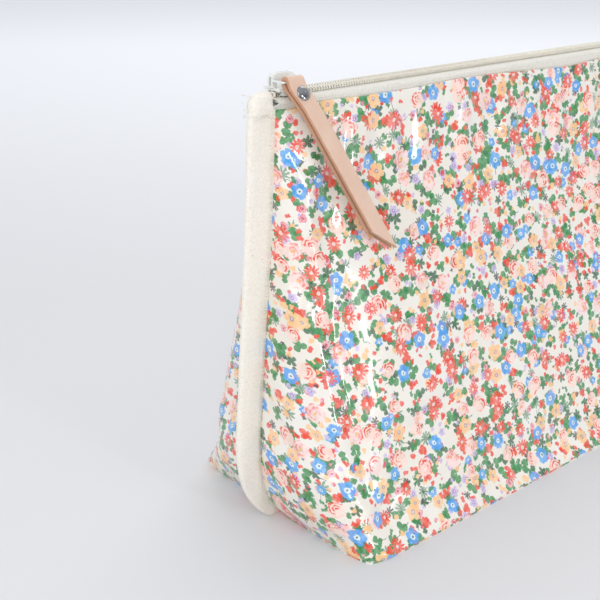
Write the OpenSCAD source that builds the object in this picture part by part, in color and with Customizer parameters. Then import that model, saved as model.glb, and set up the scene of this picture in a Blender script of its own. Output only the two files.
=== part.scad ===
// Boxed zip bag of laminated printed cotton: flat base, two leaning walls that wrap to a bound
// seam at each end, a nylon coil zip along the top and a folded leather pull.
// Origin: centre of the base on the surface it stands on. +X runs along the zip towards the end
// where it opens, -Y is the front, +Z is up. The zip is closed and its slider is at the -X end.

/* [Bag] */
// Length of the base between the two box seams
base_length = 266; // [240:1:290]
// Depth of the base from front to back
base_depth = 127; // [110:1:140]
// Height of the front wall's top edge
front_height = 193.5; // [180:0.5:200]
// Height of the back wall's top edge
back_height = 195; // [182:0.5:202]
// Distance from the zip's centre line to each wall's top edge
mouth_half = 8.5; // [8:0.1:11]
// Length of the wall stretch that swings when the mouth is spread
mouth_length = 172; // [140:1:176]
// Thickness of the laminated outer cloth, with its backing
cloth_t = 1.2; // [0.8:0.1:1.4]
// Thickness of the lining
lining_t = 0.8; // [0.5:0.1:0.9]

/* [Bound seams] */
// Distance from the centre to the seam at mid height, where it bulges most
seam_reach = 144.2; // [140:0.1:150]
// Distance from the centre to the seam at the top
seam_top = 134.1; // [130:0.1:138]
// Height at which the seam reaches out furthest
seam_bulge_z = 45; // [35:1:60]
// Finished width of the binding
binding_w = 12.6; // [9:0.1:14]
// Thickness of the binding, folded over the seam
binding_t = 3.4; // [2.4:0.1:4]

/* [Zip] */
// Height of the middle of the coil
zip_z = 197.5; // [197:0.1:198]
// Width of one side's coil
coil_w = 2.6; // [2:0.1:2.8]
// Height of the coil
coil_h = 2.2; // [1.8:0.1:2.2]
// Half of the gap that the slider's neck runs in
coil_gap = 0.8; // [0.8:0.05:0.9]
// Thickness of the woven tape
tape_t = 0.6; // [0.4:0.1:0.6]
// Width of the flat part of each tape from the zip's centre line
tape_flat = 5.8; // [5.6:0.1:6]

/* [Slider] */
// Length of the slider along the zip
slider_l = 13; // [12:0.1:14]
// Width of the slider
slider_w = 10; // [9.8:0.1:10.4]
// Thickness of each of its plates
plate_t = 1.2; // [1:0.1:1.2]
// Distance from the centre to the slider's mouth end when the zip is closed
slider_mouth_x = 134.3; // [134:0.1:134.3]
// Length of the crown over the top plate
crown_l = 12.4; // [11:0.1:12.6]
// Height of the crown above the top plate
crown_h = 5.8; // [5:0.1:6]
// Thickness of the crown
crown_t = 3.2; // [2.8:0.1:3.4]

/* [Leather pull] */
// Thickness of the leather
leather_t = 1.7; // [1.4:0.1:1.8]
// Width of the strip along the fold
strap_w = 8.8; // [8:0.1:8.8]
// Sideways lean of the strip, in mm for each mm down
strap_lean = 0.49; // [0.3:0.01:0.55]
// Height of the strip's longer corner
tip_z = 129.5; // [120:0.5:140]
// How much shorter the other corner is
tip_slant = 9; // [5:0.5:12]
// Radius of the wire that the strip is folded over
wire_r = 0.5; // [0.4:0.05:0.5]
// Radius of the rivet's cap
rivet_r = 3.2; // [2.8:0.1:3.4]

/* [Hidden] */
$fn = 48;
// clearance between things that move past each other
gap = 0.5;
half_mouth = mouth_length / 2;
front_lean = (base_depth / 2 - mouth_half) / front_height;
back_lean = (base_depth / 2 - mouth_half) / back_height;
wall_foot = cloth_t + 0.4;
// levels and steps of the curved end panels
end_levels = 12;
end_steps = 12;
// the side walls start on the base cloth
end_foot = cloth_t;
coil_z0 = zip_z - coil_h / 2;
zip_end = seam_top + 1.8;
tape_z0 = coil_z0 - tape_t;
tape_y0 = 0.7;
cavity_z0 = tape_z0 - 0.3;
cavity_z1 = coil_z0 + coil_h + 0.3;
plate_top = cavity_z1 + plate_t;
slider_x0 = -slider_mouth_x;
crown_x0 = slider_x0 - 0.7;
tunnel_h = 2.4;
post_l = 2.4;
// the wire bar on the front of the crown that carries the leather
bar_y = -7.6;
bar_z = plate_top + 2.8;
bar_x0 = crown_x0 + 0.5;
bar_x1 = crown_x0 + 11;
strap_x = (bar_x0 + bar_x1) / 2;
loop_r = wire_r + 0.25 + leather_t / 2;
// where the strip bends to lie along the front wall, and where it ends
knee = [-13.6, bar_z - 10.9];
tip = [-29.4, tip_z];
strap_skew_from = bar_z - 2.4;
rivet_down = 6;

// ---- shape of the bag ------------------------------------------------------

// distance from the centre to the bound seam at a height
function seam_x(z) = z > seam_bulge_z
    ? seam_top + (seam_reach - seam_top) * pow(max(0, 1 - (z - seam_bulge_z) / 150), 1.3)
    : seam_reach - (seam_reach - base_length / 2) * pow(1 - z / seam_bulge_z, 3.5);

// width of the binding at a height: it narrows where it is caught in the box seam
function fin_w(z) = z > seam_bulge_z
    ? binding_w
    : binding_w - 6.2 * pow(1 - z / seam_bulge_z, 2);

// half depth of the bag at a height
function half_depth(z, lean) = base_depth / 2 - lean * z;

// how square the plan of the end is at a height: boxy at the base, round at the top
function squareness(z) = 2.5 + 7.5 * exp(-z / 35);

// top edge of a wall: it dips towards the ends, under the slider
function top_edge(x, height) = height - 2.6 * pow(max(0, min(1, (abs(x) - 100) / 28)), 2);

// a point of the end panel's outer face. level and step run from 0 to 1
function end_point(level, step, lean, height, inset) =
    let (
        z = end_foot + level * (height - end_foot),
        turn = 90 * step,
        n = squareness(z),
        // the corners stand nearly upright and the seam between them bulges
        corner_x = base_length / 2 + (seam_top - base_length / 2) * level - inset,
        bulge = seam_x(z) - inset - corner_x,
        across = pow(max(0, cos(turn)), 2 / n),
        x0 = half_mouth + gap,
        x = x0 + (corner_x - x0) * pow(sin(turn), 2 / n) + bulge * (1 - pow(across, 1.5)),
        y = binding_t / 2 + (half_depth(z, lean) - inset - binding_t / 2) * across,
        z_top = end_foot + level * (top_edge(x, height) - end_foot)
    )
    [x, y, z_top];

// a curved sheet between two insets from the bag's outer face, as one closed solid
module end_sheet(lean, height, outer_inset, inner_inset) {
    rows = end_levels + 1;
    cols = end_steps + 1;
    count = rows * cols;
    face = [
        for (inset = [outer_inset, inner_inset])
            for (row = [0:end_levels])
                for (col = [0:end_steps])
                    end_point(row / end_levels, col / end_steps, lean, height, inset)
    ];
    function at(side, row, col) = side * count + row * cols + col;
    sheet = [
        for (row = [0:end_levels - 1])
            for (col = [0:end_steps - 1])
                each [
                    [at(0, row, col), at(0, row, col + 1), at(0, row + 1, col + 1)],
                    [at(0, row, col), at(0, row + 1, col + 1), at(0, row + 1, col)],
                    [at(1, row, col), at(1, row + 1, col + 1), at(1, row, col + 1)],
                    [at(1, row, col), at(1, row + 1, col), at(1, row + 1, col + 1)]
                ]
    ];
    foot_and_top = [
        for (col = [0:end_steps - 1])
            each [
                [at(0, 0, col), at(1, 0, col + 1), at(0, 0, col + 1)],
                [at(0, 0, col), at(1, 0, col), at(1, 0, col + 1)],
                [at(0, end_levels, col), at(0, end_levels, col + 1), at(1, end_levels, col + 1)],
                [at(0, end_levels, col), at(1, end_levels, col + 1), at(1, end_levels, col)]
            ]
    ];
    sides = [
        for (row = [0:end_levels - 1])
            each [
                [at(0, row, 0), at(0, row + 1, 0), at(1, row + 1, 0)],
                [at(0, row, 0), at(1, row + 1, 0), at(1, row, 0)],
                [at(0, row, end_steps), at(1, row + 1, end_steps), at(0, row + 1, end_steps)],
                [at(0, row, end_steps), at(1, row, end_steps), at(1, row + 1, end_steps)]
            ]
    ];
    polyhedron(face, concat(sheet, foot_and_top, sides), convexity = 6);
}

// the same sheet at both ends of the bag
module both_ends(lean, height, outer_inset, inner_inset) {
    for (side = [0, 1])
        mirror([side, 0, 0])
            end_sheet(lean, height, outer_inset, inner_inset);
}

// a flat stretch of wall between two insets from the outer face
module wall(lean, height, outer_inset, inner_inset, foot) {
    rotate([90, 0, 90])
        translate([0, 0, -half_mouth])
            linear_extrude(mouth_length)
                polygon([
                    [half_depth(foot, lean) - outer_inset, foot],
                    [half_depth(height, lean) - outer_inset, height],
                    [half_depth(height, lean) - inner_inset, height],
                    [half_depth(foot, lean) - inner_inset, foot]
                ]);
}

module front() {
    mirror([0, 1, 0]) children();
}

// ---- cloth -----------------------------------------------------------------

// a flat rectangle with small round corners
module base_sheet(length, depth, z, thickness) {
    corner = 4;
    translate([0, 0, z])
        linear_extrude(thickness)
            union() {
                square([length - 2 * corner, depth], center = true);
                square([length, depth - 2 * corner], center = true);
                for (x = [-1, 1])
                    for (y = [-1, 1])
                        translate([x * (length / 2 - corner), y * (depth / 2 - corner)])
                            circle(corner);
            }
}

module base_panel() {
    color("#F1E9E1") base_sheet(base_length, base_depth - 1, 0, cloth_t);
}

module base_lining() {
    color("#E9E4D8")
        base_sheet(base_length - 9, base_depth - 2 * (cloth_t + lining_t) - 7, cloth_t, lining_t);
}

module front_panel() {
    color("#F1E9E1") front() wall(front_lean, front_height, 0, cloth_t, wall_foot);
}

module back_panel() {
    color("#F1E9E1") wall(back_lean, back_height, 0, cloth_t, wall_foot);
}

module front_lining() {
    color("#E9E4D8")
        front() wall(front_lean, front_height, cloth_t, cloth_t + lining_t, wall_foot + 1.5);
}

module back_lining() {
    color("#E9E4D8")
        wall(back_lean, back_height, cloth_t, cloth_t + lining_t, wall_foot + 1.5);
}

module front_panel_ends() {
    color("#F1E9E1") front() both_ends(front_lean, front_height, 0, cloth_t);
}

module back_panel_ends() {
    color("#F1E9E1") both_ends(back_lean, back_height, 0, cloth_t);
}

module front_lining_ends() {
    color("#E9E4D8")
        front() both_ends(front_lean, front_height, cloth_t, cloth_t + lining_t);
}

module back_lining_ends() {
    color("#E9E4D8") both_ends(back_lean, back_height, cloth_t, cloth_t + lining_t);
}

// cotton binding round an end seam, with its top end folded over
module binding() {
    levels = 16;
    top = front_height + 0.6;
    fold = [11, 5.2, 6];
    seam = [for (i = [0:levels]) let (z = i * top / levels) [seam_x(z), z]];
    edge = [for (i = [levels:-1:0]) let (z = i * top / levels) [seam_x(z) + fin_w(z), z]];
    color("#EFE9DC") {
        translate([0, binding_t / 2, 0])
            rotate([90, 0, 0])
                linear_extrude(binding_t)
                    polygon(concat(seam, edge));
        translate([seam_top + 1.9, -fold[1] / 2, top - 2])
            cube(fold);
    }
}

module left_binding() {
    mirror([1, 0, 0]) binding();
}

module right_binding() {
    binding();
}

// tape over the raw edges of the box seam, inside the bag along the end of the base
module box_seam_tape() {
    color("#EFE9DC")
        translate([base_length / 2 - 9, -base_depth / 2 + 10, cloth_t + lining_t])
            cube([4, base_depth - 20, 3]);
}

module left_box_seam_tape() {
    mirror([1, 0, 0]) box_seam_tape();
}

module right_box_seam_tape() {
    box_seam_tape();
}

// ---- zip -------------------------------------------------------------------

// section of one tape, flat under the coil and then down to the wall's top edge
module tape_section(edge_z) {
    end_y = mouth_half + 0.3;
    polygon([
        [tape_y0, tape_z0],
        [tape_flat, tape_z0],
        [end_y, edge_z],
        [end_y, edge_z + tape_t],
        [tape_flat + 0.1, tape_z0 + tape_t],
        [tape_y0, tape_z0 + tape_t]
    ]);
}

// section of one side's coil
module coil_section() {
    round_r = coil_h / 2;
    translate([coil_gap, coil_z0])
        square([coil_w - round_r, coil_h]);
    translate([coil_gap + coil_w - round_r, zip_z])
        circle(round_r);
}

// extrudes a section drawn in Y and Z from x0 to x1
module along_x(x0, x1) {
    translate([x0, 0, 0])
        rotate([90, 0, 90])
            linear_extrude(x1 - x0)
                children();
}

module zip_tape(edge_z) {
    color("#DEDBD0") along_x(-half_mouth, half_mouth) tape_section(edge_z);
}

module front_zip_tape() {
    front() zip_tape(front_height + 0.05);
}

module back_zip_tape() {
    zip_tape(back_height + 0.05);
}

module coil() {
    color("#E6E3D9") along_x(-half_mouth, half_mouth) coil_section();
}

module front_coil() {
    front() coil();
}

module back_coil() {
    coil();
}

// runs its children for the front and back tape at both ends of the zip
module four_ends() {
    for (x = [0, 1])
        for (y = [0, 1])
            mirror([x, 0, 0])
                mirror([0, y, 0])
                    children();
}

module zip_tape_ends() {
    color("#DEDBD0")
        four_ends()
            along_x(half_mouth + gap, zip_end)
                translate([tape_y0, tape_z0])
                    square([tape_flat - tape_y0, tape_t]);
}

module zip_coil_ends() {
    color("#E6E3D9") four_ends() along_x(half_mouth + gap, seam_top - 0.4) coil_section();
}

// two small blocks on the tapes that stop the slider at the closed end
module left_zip_stops() {
    stop_l = 1.2;
    x0 = slider_x0 - 0.4 - stop_l;
    color("#DEDBD0")
        for (side = [0, 1])
            mirror([0, side, 0])
                along_x(x0, x0 + stop_l)
                    translate([coil_gap, coil_z0])
                        square([coil_w, coil_h]);
}

// thread bar across both coils where the zip ends
module right_zip_stop() {
    color("#DEDBD0")
        along_x(seam_top, seam_top + 1.5)
            translate([-coil_gap - coil_w, coil_z0])
                square([2 * (coil_gap + coil_w), coil_h]);
}

// ---- slider ----------------------------------------------------------------

// a plate of the slider, narrower at the end where the closed zip leaves it
module slider_plate(z) {
    nose = 4;
    round_r = 2;
    translate([slider_x0, 0, z])
        linear_extrude(plate_t)
            union() {
                translate([0, -slider_w / 2])
                    square([slider_l - nose, slider_w]);
                translate([slider_l - nose - 0.01, -slider_w / 2 + round_r])
                    square([nose + 0.01, slider_w - 2 * round_r]);
                for (side = [-1, 1])
                    translate([slider_l - nose, side * (slider_w / 2 - round_r)])
                        circle(round_r);
            }
}

// plates, neck and side flanges, cast in one
module slider_body() {
    flange_t = 1.2;
    slot_h = tape_t + 0.7;
    flange_z = cavity_z0 + slot_h + 0.2;
    color("#F4F5F1") {
        slider_plate(cavity_z1);
        slider_plate(cavity_z0 - plate_t);
        // neck between the plates at the mouth end
        translate([slider_x0, -0.5, cavity_z0 - 0.01])
            cube([2.8, 1, cavity_z1 - cavity_z0 + 0.02]);
        // side flanges come down to the slot that the tape runs in
        for (side = [-1, 1])
            translate([slider_x0 + 2, side * (slider_w / 2 - flange_t / 2) - flange_t / 2, flange_z])
                cube([slider_l - 6, flange_t, cavity_z1 - flange_z + 0.01]);
    }
}

// arched cap over the top plate, with a slit front post and a hollow for the lock spring
module slider_crown() {
    round_r = 2.7;
    slit_w = 1.2;
    roof_z = plate_top + crown_h;
    color("#F4F5F1")
        difference() {
            union() {
                translate([crown_x0, -crown_t / 2, plate_top])
                    cube([crown_l, crown_t, crown_h - round_r]);
                translate([crown_x0 + round_r, -crown_t / 2, roof_z - round_r - 0.01])
                    cube([crown_l - 2 * round_r, crown_t, round_r + 0.01]);
                for (x = [crown_x0 + round_r, crown_x0 + crown_l - round_r])
                    translate([x, crown_t / 2, roof_z - round_r])
                        rotate([90, 0, 0])
                            cylinder(r = round_r, h = crown_t);
            }
            // tunnel under the arch
            translate([crown_x0 + post_l, -crown_t, plate_top - 0.1])
                cube([crown_l - 2 * post_l, 2 * crown_t, tunnel_h + 0.1]);
            // slit in the front post
            translate([crown_x0 - 0.1, -slit_w / 2, plate_top + 0.8])
                cube([post_l + 0.2, slit_w, crown_h - 2.4]);
            // hollow for the spring
            translate([crown_x0 + post_l - 0.2, -slit_w / 2, plate_top + tunnel_h - 0.1])
                cube([crown_l - 2 * post_l, slit_w, 1.6]);
        }
}

// bent leaf spring whose pin locks the coil
module slider_lock_spring() {
    leaf = [crown_l - 2 * post_l, 0.8, 0.4];
    x0 = crown_x0 + post_l - 0.2;
    color("#B9BCBE") {
        translate([x0, -leaf[1] / 2, plate_top + tunnel_h + 0.6])
            cube(leaf);
        translate([x0 + 0.6, -leaf[1] / 2, plate_top + tunnel_h - 0.3])
            cube([0.5, leaf[1], 1]);
    }
}

// wire staple on the front of the crown that the leather is folded over
module pull_wire() {
    arm_l = -bar_y - crown_t / 2;
    color("#F4F5F1") {
        translate([bar_x0, bar_y, bar_z])
            rotate([0, 90, 0])
                cylinder(r = wire_r, h = bar_x1 - bar_x0);
        for (x = [bar_x0, bar_x1]) {
            translate([x, bar_y, bar_z])
                rotate([-90, 0, 0])
                    cylinder(r = wire_r, h = arm_l);
            translate([x, bar_y, bar_z])
                sphere(wire_r);
        }
    }
}

// ---- leather pull ----------------------------------------------------------

function unit(v) = v / norm(v);

// turns a direction in Y and Z by a quarter, towards the front when it points down
function quarter(v) = [v[1], -v[0]];

upper_dir = unit(knee - [bar_y, bar_z]);
lower_dir = unit(tip - knee);
out_upper = quarter(upper_dir);
out_lower = quarter(lower_dir);
knee_out = unit(out_upper + out_lower);

// middle line of the strip in Y and Z: up the front leg, round the wire and down the back leg
function strap_path(front_end, back_end) = [
    front_end + loop_r * out_lower,
    knee + loop_r * knee_out,
    for (a = [0:20:180])
        [bar_y, bar_z] + loop_r * (cos(a) * out_upper - sin(a) * upper_dir),
    knee - loop_r * knee_out,
    back_end - loop_r * out_lower
];

// the point of the lower leg at a height
function leg_at(z) = tip + lower_dir * (z - tip[1]) / lower_dir[1];

function strap_shift(z) = strap_lean * max(0, strap_skew_from - z);

// outward normal of a path in Y and Z at a point
function path_normal(path, i) =
    let (
        a = path[max(0, i - 1)],
        b = path[min(len(path) - 1, i + 1)]
    )
    quarter(unit(a - b));

// the strip folded in half over the wire, leaning to one side, with slanted ends
module leather_pull() {
    long_path = strap_path(leg_at(tip_z), leg_at(tip_z));
    short_path = strap_path(leg_at(tip_z + tip_slant), leg_at(tip_z + tip_slant));
    last = len(long_path) - 1;
    rings = [
        for (i = [0:last])
            for (corner = [[-1, -1], [1, -1], [1, 1], [-1, 1]])
                let (
                    path = corner[0] < 0 ? short_path : long_path,
                    p = path[i] + corner[1] * leather_t / 2 * path_normal(path, i)
                )
                [strap_x + corner[0] * strap_w / 2 + strap_shift(path[i][1]), p[0], p[1]]
    ];
    skin = [
        for (i = [0:last - 1])
            for (k = [0:3])
                let (a = 4 * i + k, b = 4 * i + (k + 1) % 4)
                each [[a, b, b + 4], [a, b + 4, a + 4]]
    ];
    color("#D9B094")
        polyhedron(
            rings,
            concat(skin, [[3, 2, 1], [3, 1, 0]], [[4 * last, 4 * last + 1, 4 * last + 2],
                [4 * last, 4 * last + 2, 4 * last + 3]]),
            convexity = 6
        );
}

// puts its children on the strip's front leg, with +Z out of the leather
module at_rivet() {
    middle = [bar_y, bar_z] + rivet_down * upper_dir;
    translate([strap_x + strap_shift(middle[1]), middle[0], middle[1]])
        rotate([atan2(-out_upper[0], out_upper[1]), 0, 0])
            children();
}

leg_out = loop_r + leather_t / 2;

// domed cap on the front of the pull
module rivet_cap() {
    dome = 1.1;
    ball_r = (rivet_r * rivet_r + dome * dome) / (2 * dome);
    color("#C9CBCC")
        at_rivet()
            translate([0, 0, leg_out])
                intersection() {
                    cylinder(r = rivet_r, h = 2 * dome);
                    translate([0, 0, dome - ball_r])
                        sphere(ball_r);
                }
}

// post through both layers, with its flat head behind the pull
module rivet_post() {
    head_t = 0.4;
    color("#C9CBCC")
        at_rivet() {
            translate([0, 0, -leg_out - head_t])
                cylinder(r = rivet_r - 1, h = head_t);
            translate([0, 0, -leg_out])
                cylinder(r = 1.1, h = 2 * leg_out);
        }
}

// ---- nodes -----------------------------------------------------------------

base_panel();
base_lining();
front_panel();
back_panel();
front_lining();
back_lining();
front_panel_ends();
back_panel_ends();
front_lining_ends();
back_lining_ends();
left_binding();
right_binding();
left_box_seam_tape();
right_box_seam_tape();
front_zip_tape();
back_zip_tape();
front_coil();
back_coil();
zip_tape_ends();
zip_coil_ends();
left_zip_stops();
right_zip_stop();
slider_body();
slider_crown();
slider_lock_spring();
pull_wire();
leather_pull();
rivet_cap();
rivet_post();
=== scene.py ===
"""Looks of a boxed zip bag of laminated printed cotton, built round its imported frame.

The cloth walls are lofted shells, loosened by a cloth simulation, that wrap from a bound seam at
one end to the other. All sizes in the classes are in mm; meshes are made in metres.
"""

import logging
import math
from dataclasses import dataclass, field
from enum import Enum

import bpy
import numpy as np
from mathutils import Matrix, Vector


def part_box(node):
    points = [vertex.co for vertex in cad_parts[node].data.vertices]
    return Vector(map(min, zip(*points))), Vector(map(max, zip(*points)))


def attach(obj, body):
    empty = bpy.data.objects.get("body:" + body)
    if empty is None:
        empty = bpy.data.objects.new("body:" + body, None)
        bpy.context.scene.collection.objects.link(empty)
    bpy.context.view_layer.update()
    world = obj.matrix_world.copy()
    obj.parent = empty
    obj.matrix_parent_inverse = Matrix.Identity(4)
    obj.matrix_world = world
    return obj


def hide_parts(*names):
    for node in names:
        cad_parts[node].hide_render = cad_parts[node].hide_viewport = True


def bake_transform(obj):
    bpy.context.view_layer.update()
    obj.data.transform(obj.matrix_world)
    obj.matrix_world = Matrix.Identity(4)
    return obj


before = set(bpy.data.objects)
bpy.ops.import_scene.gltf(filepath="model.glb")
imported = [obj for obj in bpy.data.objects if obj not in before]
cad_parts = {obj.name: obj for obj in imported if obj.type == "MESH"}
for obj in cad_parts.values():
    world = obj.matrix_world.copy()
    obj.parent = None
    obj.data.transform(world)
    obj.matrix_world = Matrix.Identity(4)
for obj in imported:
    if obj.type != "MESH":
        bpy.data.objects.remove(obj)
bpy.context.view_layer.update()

MM = 0.001
LOG = logging.getLogger("makeup_bag")


class Side(Enum):
    """Front or back of the bag, with the sign of its Y direction."""

    FRONT = -1
    BACK = 1

    @property
    def word(self) -> str:
        """Name of the side, as the frame's nodes and bodies use it."""
        return self.name.lower()


class End(Enum):
    """Left or right end of the bag, with the sign of its X direction."""

    LEFT = -1
    RIGHT = 1

    @property
    def word(self) -> str:
        """Name of the end, as the frame's nodes use it."""
        return self.name.lower()


# ---- small tools -------------------------------------------------------------------------


def linear(hex_colour: str) -> tuple[float, float, float, float]:
    """Turns an sRGB hex colour into the linear one that shaders use.

    Args:
        hex_colour: Colour such as "#F1EEE8".

    Returns:
        Red, green, blue and alpha, linear.
    """
    digits = hex_colour.lstrip("#")
    parts = [int(digits[i:i + 2], 16) / 255 for i in (0, 2, 4)]
    curve = [c / 12.92 if c <= 0.04045 else ((c + 0.055) / 1.055) ** 2.4 for c in parts]
    return (curve[0], curve[1], curve[2], 1.0)


def ripple(u: np.ndarray, v: np.ndarray, size: float, seed: int) -> np.ndarray:
    """Smooth random waves over a surface, the same on every run.

    Args:
        u: First coordinate of each point, in mm.
        v: Second coordinate of each point, in mm.
        size: Distance between one wave and the next, in mm.
        seed: Picks one pattern of waves.

    Returns:
        Heights from -1 to 1.
    """
    lattice = np.random.RandomState(seed).uniform(-1, 1, (64, 64))
    a, b = np.asarray(u, float) / size + 31.7, np.asarray(v, float) / size + 31.3
    i, j = np.floor(a).astype(int), np.floor(b).astype(int)
    s, t = a - i, b - j
    s, t = s * s * s * (s * (6 * s - 15) + 10), t * t * t * (t * (6 * t - 15) + 10)
    low = lattice[i % 64, j % 64] * (1 - s) + lattice[(i + 1) % 64, j % 64] * s
    high = lattice[i % 64, (j + 1) % 64] * (1 - s) + lattice[(i + 1) % 64, (j + 1) % 64] * s
    return low * (1 - t) + high * t


def ease(value: np.ndarray, start: float, end: float) -> np.ndarray:
    """Smooth step from 0 at start to 1 at end."""
    t = np.clip((np.asarray(value, float) - start) / (end - start), 0, 1)
    return t * t * (3 - 2 * t)


def grid_normals(points: np.ndarray) -> np.ndarray:
    """Unit normals of a grid of points, by the cross product of its two directions."""
    along = np.gradient(points, axis=0)
    up = np.gradient(points, axis=1)
    normal = np.cross(along, up)
    return normal / np.maximum(np.linalg.norm(normal, axis=2, keepdims=True), 1e-9)


def smooth_line(points: list[tuple[float, ...]], count: int) -> np.ndarray:
    """Runs a smooth curve through points and cuts it into even steps.

    Args:
        points: The few points that the curve passes through.
        count: Number of points wanted.

    Returns:
        Points at even distances along the curve.
    """
    p = np.asarray(points, float)
    p = np.vstack([2 * p[0] - p[1], p, 2 * p[-1] - p[-2]])
    t = np.linspace(0, 1, 24, endpoint=False)[:, None]
    parts = []
    for a, b, c, d in zip(p[:-3], p[1:-2], p[2:-1], p[3:]):
        bend = (2 * a - 5 * b + 4 * c - d) * t ** 2 + (3 * b - a - 3 * c + d) * t ** 3
        parts.append(0.5 * (2 * b + (c - a) * t + bend))
    return even_line(np.vstack(parts + [p[-2:-1]]), count)


def travel(line: np.ndarray) -> np.ndarray:
    """Distance along a line at each of its points, from 0 at the first."""
    return np.concatenate([[0], np.cumsum(np.linalg.norm(np.diff(line, axis=0), axis=1))])


def even_line(line: np.ndarray, count: int) -> np.ndarray:
    """Cuts a line of many points into even steps."""
    steps = travel(line)
    wanted = np.linspace(0, steps[-1], count)
    return np.stack([np.interp(wanted, steps, line[:, k]) for k in range(line.shape[1])], 1)


class Maker:
    """Collects the points and faces of one piece, in mm, and makes its mesh."""

    def __init__(self) -> None:
        """Starts with nothing."""
        self.points: list[np.ndarray] = []
        self.flat: list[np.ndarray] = []
        self.faces: list[tuple[int, ...]] = []
        self.finish_of: list[int] = []
        self.sharp: list[np.ndarray] = []
        self.count = 0

    def add(self, points: np.ndarray, flat: np.ndarray | None = None) -> int:
        """Adds loose points.

        Args:
            points: Places in mm.
            flat: Place of each point on the flat cloth, in mm.

        Returns:
            Index of the first point.
        """
        points = np.asarray(points, float).reshape(-1, 3)
        flat = points[:, :2] if flat is None else np.asarray(flat, float).reshape(-1, 2)
        first = self.count
        self.points.append(points)
        self.flat.append(flat)
        self.count += len(points)
        return first

    def grid(self, points: np.ndarray, flat: np.ndarray | None = None, finish: int = 0,
             round_i: bool = False, round_j: bool = False, flip: bool = False) -> np.ndarray:
        """Adds a grid of four-sided faces.

        Args:
            points: Grid of places, (i, j, 3).
            flat: Grid of places on the flat cloth, (i, j, 2).
            finish: Index of the finish its faces take.
            round_i: Joins the last row to the first.
            round_j: Joins the last column to the first.
            flip: Turns the faces over.

        Returns:
            Index of each point, as a grid.
        """
        rows, cols = points.shape[:2]
        index = self.add(points, flat) + np.arange(rows * cols).reshape(rows, cols)
        walk = index
        if round_i:
            walk = np.vstack([walk, walk[:1]])
        if round_j:
            walk = np.hstack([walk, walk[:, :1]])
        self.quads(walk[:-1, :-1], walk[1:, :-1], walk[1:, 1:], walk[:-1, 1:], finish, flip)
        return index

    def quads(self, a: np.ndarray, b: np.ndarray, c: np.ndarray, d: np.ndarray,
              finish: int = 0, flip: bool = False) -> None:
        """Adds four-sided faces from four equal arrays of point indices."""
        corners = np.stack([np.ravel(x) for x in ((d, c, b, a) if flip else (a, b, c, d))], 1)
        self.faces.extend(map(tuple, corners.tolist()))
        self.finish_of.extend([finish] * len(corners))

    def sheet(self, outer: np.ndarray, inner: np.ndarray, flat: np.ndarray) -> None:
        """Adds a closed sheet between two grids.

        Args:
            outer: Grid of the face side.
            inner: Grid of the back side.
            flat: Place of each grid point on the flat cloth.
        """
        top = self.grid(outer, flat)
        under = self.grid(inner, flat, flip=True)
        rims = ((top[:, 0], under[:, 0], False), (top[:, -1], under[:, -1], True),
                (top[0], under[0], True), (top[-1], under[-1], False))
        for upper, lower, flip in rims:
            self.quads(upper[:-1], lower[:-1], lower[1:], upper[1:], flip=flip)
            self.sharp += [np.stack([line[:-1], line[1:]], 1) for line in (upper, lower)]

    def tube(self, path: np.ndarray, radius: float | np.ndarray, sides: int = 8,
             finish: int = 0, closed: bool = False) -> None:
        """Adds a round tube along a path.

        Args:
            path: Points of its middle line.
            radius: Radius, one or one for each point.
            sides: Number of sides.
            finish: Index of the finish.
            closed: Joins its end to its start instead of capping both.
        """
        path = np.asarray(path, float)
        ahead = (np.roll(path, -1, 0) - np.roll(path, 1, 0)) if closed else np.gradient(path, axis=0)
        ahead /= np.maximum(np.linalg.norm(ahead, axis=1, keepdims=True), 1e-9)
        across = [np.cross(ahead[0], (0, 0, 1) if abs(ahead[0][2]) < 0.9 else (1, 0, 0))]
        for step in ahead:
            turned = across[-1] - step * np.dot(across[-1], step)
            across.append(turned / max(float(np.linalg.norm(turned)), 1e-9))
        across = np.array(across[1:])
        other = np.cross(ahead, across)
        turn = np.linspace(0, 2 * math.pi, sides, endpoint=False)
        size = np.broadcast_to(np.asarray(radius, float), (len(path),))[:, None, None]
        spokes = (across[:, None] * np.cos(turn)[None, :, None]
                  + other[:, None] * np.sin(turn)[None, :, None])
        ring = self.grid(path[:, None] + size * spokes, None, finish, closed, True)
        if not closed:
            for loop in (ring[0][::-1], ring[-1]):
                self.faces.append(tuple(int(i) for i in loop))
                self.finish_of.append(finish)

    def build(self, name: str, finishes: list[bpy.types.Material]) -> bpy.types.Object:
        """Makes the piece.

        Args:
            name: Name of the piece.
            finishes: Materials, in the order of the faces' finish indices.

        Returns:
            The new object.
        """
        mesh = bpy.data.meshes.new(name)
        mesh.from_pydata((np.vstack(self.points) * MM).tolist(), [], self.faces)
        mesh.polygons.foreach_set("use_smooth", [True] * len(self.faces))
        mesh.polygons.foreach_set("material_index", self.finish_of)
        corner = np.zeros(len(mesh.loops), int)
        mesh.loops.foreach_get("vertex_index", corner)
        layer = mesh.uv_layers.new(name="flat_cloth")
        layer.data.foreach_set("uv", np.vstack(self.flat)[corner].ravel())
        for finish in finishes:
            mesh.materials.append(finish)
        if self.sharp:
            edges = np.zeros(len(mesh.edges) * 2, int)
            mesh.edges.foreach_get("vertices", edges)
            keys = [np.sort(pairs.reshape(-1, 2), 1) @ (self.count, 1)
                    for pairs in (edges, np.vstack(self.sharp))]
            mark = mesh.attributes.new("sharp_edge", "BOOLEAN", "EDGE")
            mark.data.foreach_set("value", np.isin(keys[0], keys[1]))
        mesh.validate()
        piece = bpy.data.objects.new(name, mesh)
        bpy.context.scene.collection.objects.link(piece)
        LOG.info("made %s: %d faces", name, len(self.faces))
        return piece


# ---- material tools ----------------------------------------------------------------------


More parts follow.
